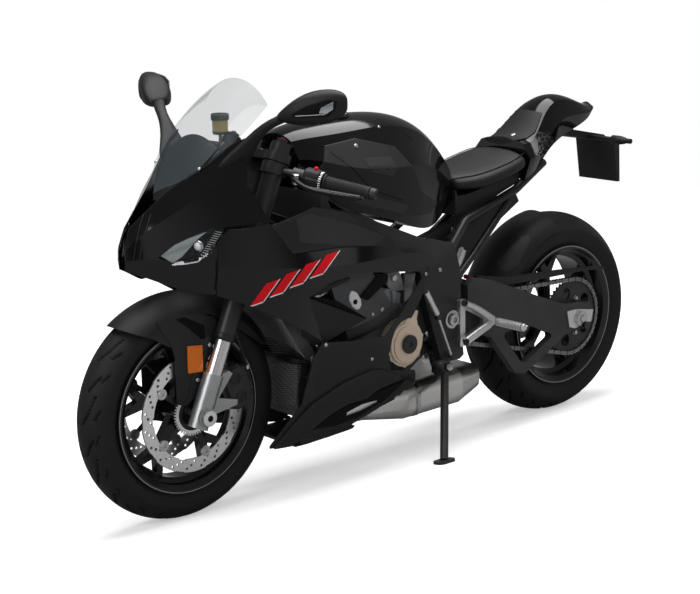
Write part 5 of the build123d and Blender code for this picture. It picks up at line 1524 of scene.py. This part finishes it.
class Bodywork:
    """Films, textured patches, seams and screws on the painted and moulded panels."""

    def _films(self) -> None:
        """Slanted bars in red and pale on both side panels."""
        skin = Skin("side_fairings", "side_covers")
        red, pale = Shape(), Shape()
        for index in range(4):
            u, v = 250 + index * 20, 306 - index * 9.5
            red.add(skin.draped([(u, v), (u + 13, v - 4.5), (u + 29, v - 27), (u + 16, v - 22.5)], 1.2))
            pale.add(skin.draped([(u + 13, v - 4.5), (u + 14.4, v - 5), (u + 30.4, v - 27.5),
                                  (u + 29, v - 27)], 1.2))
            pale.add(skin.draped([(u, v), (u - 0.5, v + 1.3), (u + 13.2, v - 3.4), (u + 13, v - 4.5)], 1.2))
        make_piece("red_bars", red.both(), RED, look=SOFT)
        make_piece("pale_bars", pale.both(), PALE, look=SOFT)

    def _patches(self) -> None:
        """Ribbed and pimpled patches moulded into the matt panels."""
        covers = Skin("side_covers", "side_fairings")
        ribbed = covers.draped([(300, 243), (374, 246), (386, 236), (352, 224), (310, 214), (296, 219)], 0.4)
        pads = Skin("tank_pads", "fuel_tank")
        ribbed.add(pads.draped([(352, 202), (404, 214), (408, 205), (372, 196)], 0.4))
        make_piece("ribbed_patches", ribbed.both(), RIBBED, look=SOFT)
        dots = pads.draped([(364, 158), (390, 156), (398, 168), (392, 176), (372, 172)], 0.4)
        make_piece("pimpled_patches", dots.both(), PIMPLED, look=SOFT)
        hugger = Skin("rear_hugger").draped([(497, 263), (507, 250.6), (522, 236), (529, 235),
                                             (529.5, 241.4), (518, 265), (507.5, 271), (500, 270)], 0.8)
        make_piece("hugger_patch", hugger, PIMPLED, look=SOFT)

    def _screws(self) -> None:
        """Screws seen on the left panels, repeated on the right."""
        skin = Skin("fuel_tank", "tank_pads", "side_fairings", "side_covers", "lower_fairings",
                    "engine_block", "main_frame", "nose_fairing")
        screws = skin.screws(((379, 127, 4.5), (356, 146, 6.5), (326, 345, 5.5), (372, 359, 5.5),
                              (296, 436, 5.5), (394, 278, 5.0), (426, 274, 5.0), (382, 310, 5.0),
                              (440, 270, 6.0)))
        make_piece("panel_screws", screws.both(), BARE_STEEL)

    def _seams(self) -> None:
        """Fine joint lines between tank, covers and nose."""
        pads = Skin("tank_pads", "fuel_tank")
        lines = Shape()
        for pixels in (((366, 122), (378, 119), (397, 128), (412, 139)),
                       ((330, 152), (352, 168), (372, 190), (402, 200))):
            lines.add(pads.line(list(pixels), 0.45))
        make_piece("tank_seams", lines.both(), SHADOW)

    def _fins(self) -> None:
        """The second layer on the lower panels, painted shade in their slots with a pipe sunk in each, and the
        wedges beside the engine.
        """
        skin = Skin("lower_fairings", "belly_pan")
        blade = skin.draped([(273, 448), (295.7, 421), (310.4, 404.6), (342.7, 382.6), (372, 369.4),
                             (380.8, 369.4), (402.8, 376.7), (376.4, 389), (366, 397.7), (345.6, 403.6),
                             (328, 414.6), (312, 428), (298, 443)], 6.0, step=4, thick=5.5)
        blade.add(skin.draped([(298, 443), (312, 428.8), (333.9, 426), (357.4, 417), (380.8, 401), (398.4, 385),
                               (404, 379), (420, 380), (421, 383.5), (380.8, 404.6), (331, 434.4)], 6.0,
                              step=4, thick=5.5))
        make_piece("lower_blades", blade.both(), MATT, look=Look(crease_angle=28))
        # Painted shade: a deep black film on the blade stands for the open slot, with a pipe half sunk in it.
        slot = skin.draped([(313.3, 428), (328, 415.6), (345.6, 404.6), (366, 398.7), (376.4, 390),
                            (402.8, 379.8), (398.4, 384), (380.8, 399.6), (357.4, 415.6),
                            (334, 424.6)], 6.4, step=4)
        make_piece("blade_slot_shade", slot.both(), SHADOW)
        ends = [skin.seen(pixel) for pixel in ((345, 413), (359, 406.5), (375, 400))]
        if all(ends):
            pipe = tube([place + normal * -2 for place, normal in ends], [10, 14, 9], 20)
            make_piece("slot_pipes", pipe.both(), EXHAUST, look=SOFT)
        wedge = pixel_plate(((303, 297), (310, 298.4), (366, 319), (340, 334), (327, 342), (313, 346),
                             (301, 336)), 184, 3)
        make_piece("side_wedges", wedge.both(), MATT, look=Look(bevel=1.0))

    def _nose(self) -> None:
        """A plate of painted shade behind the nose's split line, and the ribs beside the intake."""
        panels = Skin("nose_fairing", "side_fairings", "headlamps")
        # Painted shade: deep black strips sunk just under the panels darken the gap between nose and side
        # panel.
        split_shade_plates = []
        for row in range(9):
            height = 250 + row * 5
            ends = [panels.seen((column, height)) for column in (207, 228)]
            if all(ends):
                near, far = (place + normal * -4 for place, normal in ends)
                split_shade_plates.append([near, far, far - Vector((0, 3, 0)), near - Vector((0, 3, 0))])
        make_piece("split_line_shade", rings(split_shade_plates).both(), SHADOW)
        nose = Skin("nose_fairing")
        ribs = nose.line([(144, 214), (140, 226), (136, 244), (133, 262)], 0.5, 1.6)
        ribs.add(nose.line([(151, 214), (148, 224), (142, 244), (139, 262)], 0.5, 1.6))
        make_piece("nose_ribs", ribs.both(), MATT, look=SOFT)

    def _filler(self) -> None:
        """The tank's filler cap with its ring of screws."""
        at, up = Vector((880, 0, 1020)), Vector((0.02, 0, 1))
        cap = [(0, 46), (7, 46), (9, 44), (9, 30), (11, 27), (11, 10), (10, 9), (10, 0.1)]
        make_piece("filler_cap", spun(cap, at, up, 64), BLACK_STEEL, look=Look(bevel=0.8))
        screws = Shape()
        for angle in turns(6):
            screws.add(domed_bolt(at + Vector((37 * math.cos(angle), 37 * math.sin(angle), 9)), up, 3))
        make_piece("filler_screws", screws, BARE_STEEL)

    def make(self) -> None:
        """Dresses the panels and the tank."""
        self._films()
        self._patches()
        self._screws()
        self._seams()
        self._fins()
        self._nose()
        self._filler()


@dataclass
class SeatAndTail:
    """The padded seat, the passenger pad with its vents, and the lamps."""

    seat: tuple[tuple[float, float, float, float, float, float], ...] = (
        (478, 812, 52, 806, 72, 770), (462, 818, 68, 810, 88, 766), (420, 824, 92, 815, 118, 764),
        (370, 832, 106, 824, 130, 770), (320, 843, 112, 835, 135, 780), (270, 856, 112, 846, 134, 792),
        (235, 866, 106, 855, 128, 802), (212, 870, 98, 858, 120, 812),
    )

    def _seat(self) -> None:
        """A cushion with rounded shoulders and a stitched seam."""
        loops = []
        for x, crown, flat, shoulder, waist, foot in self.seat:
            right = [(0, crown), (flat * 0.55, crown - 1.5), (flat, shoulder), (waist * 0.97, shoulder - 12),
                     (waist, (shoulder + foot) / 2), (waist * 0.93, foot)]
            ring = right + [(-y, z) for y, z in reversed(right[1:])]
            loops.append([Vector((x, y, z)) for y, z in ring])
        cushion = make_piece("seat_cushion", rings(loops), SEAT, look=Look(crease_angle=80, rounds=2),
                             replaces=("rider_seat",))
        seams = Shape()
        for side in (1, -1):
            path = [Vector((x, side * (flat + 2), shoulder - 1)) for x, _, flat, shoulder, _, _ in self.seat]
            seams.add(tube(smooth_path(path, 4), 1.5, 8))
        make_piece("seat_seams", seams, SEAT, look=SOFT)

    def _tail(self) -> None:
        """The passenger pad cover, the vent grille with painted shade in its cells, and the lock."""
        skin = Skin("tail_fairing")
        pad = skin.draped([(484, 130), (498, 117), (511, 109), (526, 110), (542, 113),
                           (539, 122), (535, 132.5), (527, 138.5), (500, 144.5), (486, 141)], 2.4, step=3)
        make_piece("passenger_pad", pad, MATT, look=SOFT)
        grille = skin.draped([(538, 132), (546, 133), (554, 141), (553, 152), (541, 158),
                              (538, 146)], 1.0, step=3)
        make_piece("vent_grille", grille.both(), SATIN_GREY, look=SOFT)
        # Painted shade: deep black hexagons on the grille stand for the dark openings of the vent cells.
        cells = Shape()
        for row in range(5):
            for column in range(3):
                u, v = 540 + column * 4.4 + row % 2 * 2.2, 135 + row * 4.4 - column * 0.6
                cells.add(skin.draped(circle(2.1, 6, (u, v)), 2.2, step=6))
        make_piece("tail_vent_shade", cells.both(), SHADOW, look=SOFT)
        lock = skin.seen((513, 135))
        if lock:
            face = [(0, 9), (3, 9), (4, 7.5), (4, 2), (3, 1.8), (3, 0.1)]
            make_piece("seat_lock", spun(face, lock[0], lock[1], 32), BARE_STEEL)

    def _lamps(self) -> None:
        """The tail lamp, the indicators and the plate lamp."""
        lamp = [(-150, 950), (-188, 960), (-193, 950), (-168, 940)]
        make_piece("tail_lamp", slab(lamp, -24, 24), RED_METAL, look=Look(bevel=2))
        tips = Shape()
        for side in (1, -1):
            start = Vector((-176, side * 118, 864))
            tips.add(spun([(0, 9), (6, 14), (34, 14), (52, 11), (72, 4)], start, Vector((0, side, 0)), 24))
        make_piece("indicator_pods", tips, MATT, look=SOFT, replaces=("rear_indicators",))
        lenses = Shape()
        for side in (1, -1):
            start = Vector((-182, side * 142, 864))
            lenses.add(spun([(0, 11), (5, 10.5), (8, 7), (9, 0.2)], start, Vector((-1, 0, 0)), 24))
        make_piece("indicator_lenses", lenses, AMBER, look=SOFT)
        plate_lamp = slab([(-252, 862), (-270, 856), (-276, 846), (-262, 850)], -22, 22)
        make_piece("plate_lamp", plate_lamp, BLACK_STEEL, look=Look(bevel=1.5))

    def make(self) -> None:
        """Dresses the seat and the tail."""
        self._seat()
        self._tail()
        self._lamps()


# ---------------------------------------------------------------- engine and running gear


@dataclass
class Engine:
    """Cover screws, caps, hoses, cooler fins and the exhaust's bands."""

    cover: Flat = (785.0, 388.0)
    core_foot: Point = (1123, 0, 420)
    core_lean: Point = (0.5425, 0, 0.8401)
    core_front: Point = (0.8401, 0, -0.5425)
    core_rows: int = 44
    core_pitch: float = 4.0
    core_half: float = 184.0
    core_bow: float = 38.0
    fin_half: float = 176.0

    def _cover(self) -> None:
        """The alternator cover's face, lugs, screws and cap."""
        x, z = self.cover
        rim = [(0, 60), (6, 60), (8, 57), (8, 50), (5, 49), (5, 44), (9, 42), (9, 27), (12, 25),
               (12, 12), (10, 11), (10, 0.1)]
        make_piece("cover_face", spun(rim, Vector((x, 184, z)), LEFT, 96), BRONZE, look=Look(bevel=0.6))
        screws, lugs = Shape(), Shape()
        for angle in turns(7, 0.3):
            spot = on_wheel(self.cover, 61, angle, 183)
            lugs.add(spun([(-30, 9), (1, 9), (2, 8)], spot, LEFT, 24))
            screws.add(domed_bolt(spot + LEFT * 2, LEFT, 4.6))
        ear = pixel_plate(((404, 326), (407.4, 315.6), (410.5, 313.6), (416, 315.4), (417.6, 320),
                           (419, 330)), 190, 26)
        make_piece("cover_ear", ear, BRONZE, look=Look(bevel=2.5))
        make_piece("cover_lugs", lugs, BRONZE)
        make_piece("cover_screws", screws, BARE_STEEL)
        cap = CAMERA.on_side((409, 344), 196)
        profile = [(0, 26.5), (7, 26.5), (9, 24), (9, 6), (7, 5.5), (7, 0.1)]
        make_piece("timing_cap", spun(profile, cap, LEFT, 48), BLACK_STEEL)

    def _boss(self) -> None:
        """The silver boss on the head's side, with a disc of painted shade in its hole."""
        boss = pixel_plate(((349.4, 295), (350.6, 292), (353, 290.8), (357.4, 293), (361.2, 299),
                            (362, 305), (360, 309), (357, 310), (352.6, 306.5), (349.8, 301)), 168, 16)
        make_piece("head_boss", boss, SILVER_CAST, look=Look(bevel=2.0))
        # Painted shade: a deep black disc stands for the shade inside the boss's hole.
        hole_shade = spun([(0, 7), (1.2, 7), (1.3, 0.1)], CAMERA.on_side((355.3, 302), 168), LEFT, 24)
        make_piece("head_boss_hole_shade", hole_shade, SHADOW)

    def _castings(self) -> None:
        """The castings, boxes, shield and studs on the head's side."""
        castings = Shape()
        for pixels, y, thick in (
            (((336, 292), (352, 279), (364, 276), (371, 283), (362, 296), (352, 289)), 150, 26),
            (((364, 304), (371, 298), (387, 288.5), (401, 293), (400, 303), (381, 316),
              (368, 320.5)), 158, 22),
            (((388, 274), (400, 272), (405, 290), (392, 292), (387, 285)), 152, 30),
            (((366, 301), (372, 297.5), (376, 315), (370, 319)), 164, 8),
            (((379, 294), (383, 291.6), (388, 308), (384, 311)), 164, 8),
            (((392, 291), (396, 291.5), (397, 302), (393, 305)), 164, 8),
            (((405, 274), (416, 273), (412, 296), (404, 303)), 148, 20),
        ):
            castings.add(pixel_plate(pixels, y, thick))
        make_piece("head_castings", castings, CAST_GREY, look=Look(bevel=1.6))
        coil = pixel_plate(((361, 297.5), (378.4, 275.5), (388.4, 275.3), (388.2, 281),
                            (368.6, 300.4)), 172, 20)
        coil.add(pixel_plate(((309, 296), (337, 300.5), (367, 318), (366, 320), (336, 307),
                              (309, 299)), 176, 4))
        make_piece("head_boxes", coil, SHADOW, look=Look(bevel=1.5))
        edge = pixel_plate(((310, 295.6), (329, 284), (351, 277.5), (350, 280.4), (331, 289),
                            (321, 295.4)), 170, 4)
        make_piece("head_shield", edge, MATT, look=Look(bevel=1.0))
        studs = Shape()
        for pixel, y, radius in (((394, 277.8), 156, 9), ((381.6, 309.2), 162, 6), ((362.5, 286.5), 152, 7),
                                 ((372, 314), 162, 5)):
            studs.add(spun([(-4, radius), (4, radius), (5, radius * 0.8), (5, radius * 0.4), (3, 0.1)],
                           CAMERA.on_side(pixel, y), LEFT, 24))
        make_piece("head_studs", studs, BARE_STEEL)

    def _hoses(self) -> None:
        """The coolant hoses and their clips."""
        pixels = ((343, 336), (362, 329), (380, 319.5), (396, 306))
        head_hose = [CAMERA.on_side(pixel, 156) for pixel in pixels]
        hoses = Shape()
        for points, radius, sides in (
            (head_hose, 19, 24),
            ([(1208, 158, 560), (1150, 172, 584), (1080, 160, 590), (1020, 140, 596)], 15, 20),
            ([(1120, 150, 440), (1080, 150, 420), (1030, 146, 400), (985, 140, 402)], 13, 20),
        ):
            hoses.add(tube(smooth_path(points), radius, sides))
        make_piece("coolant_hoses", hoses, GRIP, look=SOFT)
        bands = Shape()
        for at, axis in (((1196, 160, 566), (-58, 14, 20)), ((1040, 146, 594), (-60, -20, 4)),
                         ((1104, 150, 432), (-40, 0, -18))):
            bands.add(spun([(0, 17.4), (9, 17.4)], Vector(at), Vector(axis), 32))
        make_piece("hose_bands", bands, BARE_STEEL)

    def _coolers(self) -> None:
        """Fins across both coolers' faces."""
        foot, lean, front = (Vector(axis) for axis in (self.core_foot, self.core_lean, self.core_front))
        fins = Shape()
        for row in range(self.core_rows):
            height = 7 + row * self.core_pitch
            loops = []
            for step in range(17):
                y = self.fin_half * (step / 8 - 1)
                back = 12 - self.core_bow * (y / self.core_half) ** 2
                middle = foot + lean * height - front * back + Vector((0, y, 0))
                loops.append([middle + front * 2.6 + lean * 0.7, middle + front * 2.6 - lean * 0.7,
                              middle - front * 0.5 - lean * 0.7, middle - front * 0.5 + lean * 0.7])
            fins.add(rings(loops))
        for row in range(34):
            height = 231 + row * 4.2
            fins.add(slab([(1117.6, height), (1120.6, height), (1120.6, height + 1.3),
                           (1117.6, height + 1.3)], -106, 106))
        make_piece("cooler_fins", fins, FIN_GREY)
        skin = Skin("radiator", "oil_cooler", "side_fairings", "lower_fairings", "engine_block", "belly_pan")
        slats = Shape()
        for row in range(15):
            height = 317 + row * 2.5
            slats.add(skin.line([(257 + row * 0.9, height), (270 + row, height + 0.8),
                                 (282 + row * 1.4, height + 3)], 0.45, 1.5))
        for row in range(20):
            height = 364 + row * 2.05
            slats.add(skin.line([(271, height), (301 - row * 0.3, height + 1.6)], 0.35, 1.5))
        make_piece("cooler_slats", slats.both(), FIN_GREY)

    def _exhaust(self) -> None:
        """Clamp bands and the can's end caps."""
        bands = Shape()
        for x, half, low, high in ((846, 70, 145, 210), (836, 70, 145, 210), (660, 107, 124, 229)):
            middle, reach = (low + high) / 2, (high - low) / 2 + 3
            loops = [[Vector((x + shift, (half + 3) * squared(math.cos(angle), 0.5),
                              middle + reach * squared(math.sin(angle), 0.5))) for angle in turns(48)]
                     for shift in (-6, 6)]
            bands.add(rings(loops))
        make_piece("silencer_bands", bands, BARE_STEEL, look=SOFT)
        start, end = Vector((372, -200, 232)), Vector((130, -230, 340))
        axis = (end - start).normalized()
        rims = spun([(0, 51), (10, 52), (12, 50)], start, axis, 64)
        rims.add(spun([(-16, 50.5), (-14, 52.5), (2, 52.5), (5, 47), (3, 34), (-24, 33), (-26, 0.1)],
                      end, axis, 64))
        make_piece("can_caps", rims, BLACK_STEEL, look=Look(bevel=0.8))

    def make(self) -> None:
        """Dresses the engine, the coolers and the exhaust."""
        self._cover()
        self._boss()
        self._castings()
        self._hoses()
        self._coolers()
        self._exhaust()


class RunningGear:
    """Pedals, linkage, swingarm plates, shock parts and the stand's nut."""

    def _pedals(self) -> None:
        """Rubber-less pegs, the gear pedal and its rod."""
        profile = [(0, 10), (6, 12)]
        for ring in range(12):
            profile += [(8 + ring * 8, 12.6), (12 + ring * 8, 12.6), (13 + ring * 8, 11), (15 + ring * 8, 11)]
        profile += [(112, 12), (116, 9)]
        make_piece("knurled_pegs", spun(profile, Vector((412, 178, 386)), LEFT, 28).both(), SILVER_CAST)
        arms, heads = Shape(), Shape()
        for pixels in (((463, 302.5), (477, 308.5), (492, 319)), ((464.3, 341.5), (477, 332), (492, 321.5))):
            path = smooth_path([CAMERA.on_side(pixel, 184) for pixel in pixels])
            arms.add(tube(path, [8 + 4 * index / len(path) for index in range(len(path))], 16))
            heads.add(spun([(0, 10), (6, 10), (7, 8), (7, 4.5), (4, 4.2), (4, 0.1)],
                           path[0] + LEFT * 5, LEFT, 24))
        make_piece("peg_castings", arms.both(), SILVER_CAST, look=SOFT)
        make_piece("peg_bolts", heads.both(), BLACK_STEEL)
        sensor = tube([CAMERA.on_side((426, 292), 172), CAMERA.on_side((437, 314), 170)], 8.5, 20)
        make_piece("shift_sensor", sensor, SILVER_CAST)
        rod = tube([CAMERA.on_side((437, 314), 170), CAMERA.on_side((451, 355), 168)], 4.4, 14)
        make_piece("shift_rod", rod, BARE_STEEL)
        joints = Shape()
        for pixel, y in (((424, 289), 173), ((438, 317), 170), ((452, 357), 168)):
            joints.add(spun([(-7, 9), (7, 9)], CAMERA.on_side(pixel, y), LEFT, 24))
        make_piece("shift_joints", joints, BLACK_STEEL)
        root = CAMERA.on_side((452, 357), 166)
        path = smooth_path([root, (root.x + 30, 170, root.z - 8), (root.x + 70, 184, root.z + 2),
                            (root.x + 104, 200, root.z + 6)])
        pedal = tube(path, 7, 16, 0.7)
        pedal.add(spun([(0, 7), (2, 9), (34, 9), (36, 7)], Vector((root.x + 104, 196, root.z + 6)), LEFT, 20))
        make_piece("pedals", pedal.both(), BLACK_STEEL, look=SOFT)
        guard = [(556, 474), (536, 476), (440, 412), (436, 396), (452, 386), (524, 330), (552, 322)]
        make_piece("heel_guards", slab(guard, 148, 151.5).both(), BLACK_STEEL, look=Look(bevel=0.8))

    def _swingarm(self) -> None:
        """Axle plates, nuts, the pivot's rings and the stand spools."""
        plate = [(64, 352), (52, 300), (26, 292), (-52, 302), (-60, 338), (20, 352)]
        make_piece("axle_plates", cut_plate(plate, [circle(15, 24, (0, REAR_RADIUS))], 149, 154), SILVER_CAST)
        nuts = spun([(0, 22), (4, 22), (5, 20), (5, 12), (13, 11.4), (13, 7)],
                    Vector((0, 154, REAR_RADIUS)), LEFT, 6)
        nuts.add(spun([(0, 19), (8, 19), (9, 16), (9, 9.5), (2, 9)], Vector((570, 158, 415)), LEFT, 6))
        make_piece("arm_nuts", nuts, BARE_STEEL)
        ring = spun([(0, 27), (3, 27), (4, 25), (4, 20), (2, 19.6), (2, 0.1)],
                    Vector((570, 152.4, 415)), LEFT, 48)
        make_piece("pivot_rings", ring.both(), BARE_STEEL)
        spools = spun([(0, 12), (4, 12), (6, 8), (16, 8), (18, 13), (22, 13)],
                      Vector((-14, 149, 296)), LEFT, 28)
        make_piece("stand_spools", spools, BLACK_STEEL, look=SOFT)

    def _shock(self) -> None:
        """The shock's spring, collars and adjusters."""
        coils, steps = 6.5, 160
        path = []
        for k in range(steps + 1):
            angle = 2 * math.pi * coils * k / steps
            path.append(Vector((424 + 34 * math.cos(angle), 34 * math.sin(angle), 400 + 150 * k / steps)))
        make_piece("shock_spring", tube(path, 6, 12), BLACK_STEEL, look=SOFT)
        collars = spun([(0, 38), (6, 38), (7, 34)], Vector((424, 0, 552)), UP, 40)
        collars.add(spun([(0, 9), (14, 9), (16, 6)], Vector((424, 34, 585)), LEFT, 24))
        make_piece("shock_collars", collars, SILVER_CAST)
        knobs = Shape()
        for pixel in ((466.4, 276.7), (464.6, 293.5)):
            knobs.add(spun([(-6, 7), (6, 7), (7, 5)], CAMERA.on_side(pixel, 60), LEFT, 24))
        make_piece("shock_knobs", knobs, RED_METAL)
        inner = pixel_plate(((449, 241), (513, 187), (519, 201), (479, 240), (463, 268), (452, 262)), 46, 3)
        make_piece("under_seat_panels", inner.both(), MATT)
        can = tube([CAMERA.on_side((453, 268), 30), CAMERA.on_side((459, 249), 30)], 24, 28)
        make_piece("shock_canister", can, SILVER_CAST)

    def _stand(self) -> None:
        """The side stand's pivot nut."""
        axis = Vector((0, math.cos(math.radians(27)), math.sin(math.radians(27))))
        pivot = Vector((575, 128, 262))
        nut = spun([(0, 13), (7, 13), (8, 11)], pivot + axis * 16, axis, 6)
        make_piece("stand_nut", nut, BARE_STEEL)

    def make(self) -> None:
        """Dresses pedals, swingarm, shock and stand."""
        self._pedals()
        self._swingarm()
        self._shock()
        self._stand()


# ---------------------------------------------------------------- studio


class Studio:
    """A pale floor and soft lamps."""

    floor_half = 9.0
    aim = Vector((0, 0, 0.55))
    dim_share = 0.2
    # Each lamp: name, place in metres, size, watts and whether glossy surfaces show it.
    lamps: tuple[tuple[str, Point, Flat, float, bool], ...] = (
        ("top_box", (0.0, 0.2, 3.4), (4.2, 2.4), 150, True),
        ("left_box", (0.9, 3.6, 1.9), (3.6, 1.1), 60, False),
        ("front_box", (4.0, 0.6, 1.9), (1.6, 1.6), 40, True),
        ("rear_box", (-3.8, 1.4, 2.2), (1.8, 1.2), 45, False),
    )

    def _floor(self) -> None:
        """A white floor that keeps the shadow."""
        mesh = bpy.data.meshes.new("studio_floor")
        half = self.floor_half
        corners = [(-half, -half, 0), (half, -half, 0), (half, half, 0), (-half, half, 0)]
        mesh.from_pydata(corners, [], [(0, 1, 2, 3)])
        floor = bpy.data.objects.new("studio_floor", mesh)
        bpy.context.scene.collection.objects.link(floor)
        material, wiring, shader = new_material("studio_white")
        camera_ray = wiring.node("ShaderNodeLightPath").outputs["Is Camera Ray"]
        white = wiring.mix(camera_ray, shaded((1, 1, 1), 0.3), shaded((1, 1, 1), 0.8))
        far = wiring.vector("LENGTH", wiring.node("ShaderNodeTexCoord").outputs["Object"]).outputs["Value"]
        glow = wiring.math("MULTIPLY", camera_ray, wiring.spread(far, 0.42, 1.0, 1.2, 2.6))
        wiring.feed(shader, {"Base Color": white, "Roughness": 0.9, "Specular IOR Level": 0.1,
                             "Emission Color": (1, 1, 1, 1), "Emission Strength": glow})
        mesh.materials.append(material)

    def _world(self) -> None:
        """White where the camera, metal and glass look; dim for the light on the bike."""
        world = bpy.data.worlds.new("studio_world")
        bpy.context.scene.world = world
        world.use_nodes = True
        wiring = Wiring(world.node_tree)
        ray = wiring.node("ShaderNodeLightPath").outputs
        direction = wiring.node("ShaderNodeSeparateXYZ",
                                {0: wiring.node("ShaderNodeTexCoord").outputs["Generated"]})
        fade = wiring.spread(direction.outputs["Z"], 0.6, 0.03, 0.0, 0.32)
        shiny = wiring.math("MAXIMUM", ray["Is Glossy Ray"], ray["Is Transmission Ray"])
        seen = wiring.math("MAXIMUM", ray["Is Camera Ray"], wiring.math("MULTIPLY", shiny, fade))
        wiring.feed(world.node_tree.nodes["Background"], {
            "Color": (1, 1, 1, 1), "Strength": wiring.math("MAXIMUM", seen, self.dim_share)})

    def _lamp(self, name: str, place: Point, size: Flat, power: float, mirrored: bool) -> None:
        """An oblong soft box that looks at the bike's middle.

        Args:
            name: The lamp's name.
            place: Where it hangs, in metres.
            size: Its width and height.
            power: Its watts.
            mirrored: Whether glossy surfaces show it.
        """
        data = bpy.data.lights.new(name, "AREA")
        data.shape = "RECTANGLE"
        data.size, data.size_y = size
        data.energy = power
        lamp = bpy.data.objects.new(name, data)
        bpy.context.scene.collection.objects.link(lamp)
        lamp.location = place
        lamp.visible_glossy = mirrored
        lamp.rotation_euler = (self.aim - Vector(place)).to_track_quat("-Z", "Y").to_euler()

    def make(self) -> None:
        """Adds the floor, the world and the lamps."""
        self._floor()
        self._world()
        for lamp in self.lamps:
            self._lamp(*lamp)
        bpy.context.scene.view_settings.view_transform = "Standard"


def dress_nodes() -> None:
    """Gives every CAD node its finish."""
    for name, node in frame["nodes"].items():
        node.data.materials.clear()
        node.data.materials.append(NODE_FINISH[name].material())


def main() -> None:
    """Builds the bike's dressed pieces in order."""
    logging.basicConfig(level=logging.INFO, format="%(name)s: %(message)s")
    dress_nodes()
    Tyre("front_tread", "front_tyre", Body.FRONT_WHEEL, (WHEELBASE, FRONT_RADIUS), FRONT_RADIUS, 60, 38,
         45.7, 11).make()
    Tyre("rear_tread", "rear_tyre", Body.REAR_WHEEL, (0.0, REAR_RADIUS), REAR_RADIUS, 95, 47, 77.7, 12).make()
    Wheel("front_wheel", Body.FRONT_WHEEL, (WHEELBASE, FRONT_RADIUS), 54).make()
    Wheel("rear_wheel", Body.REAR_WHEEL, (0.0, REAR_RADIUS), 86).make()
    BrakeDiscs().make()
    ChainDrive().make()
    FrontEnd().make()
    Cockpit().make()
    Mirrors().make()
    Headlamps().make()
    Screen().make()
    Bodywork().make()
    SeatAndTail().make()
    Engine().make()
    RunningGear().make()
    CAMERA.make()
    Studio().make()


if __name__ == "__main__":
    main()
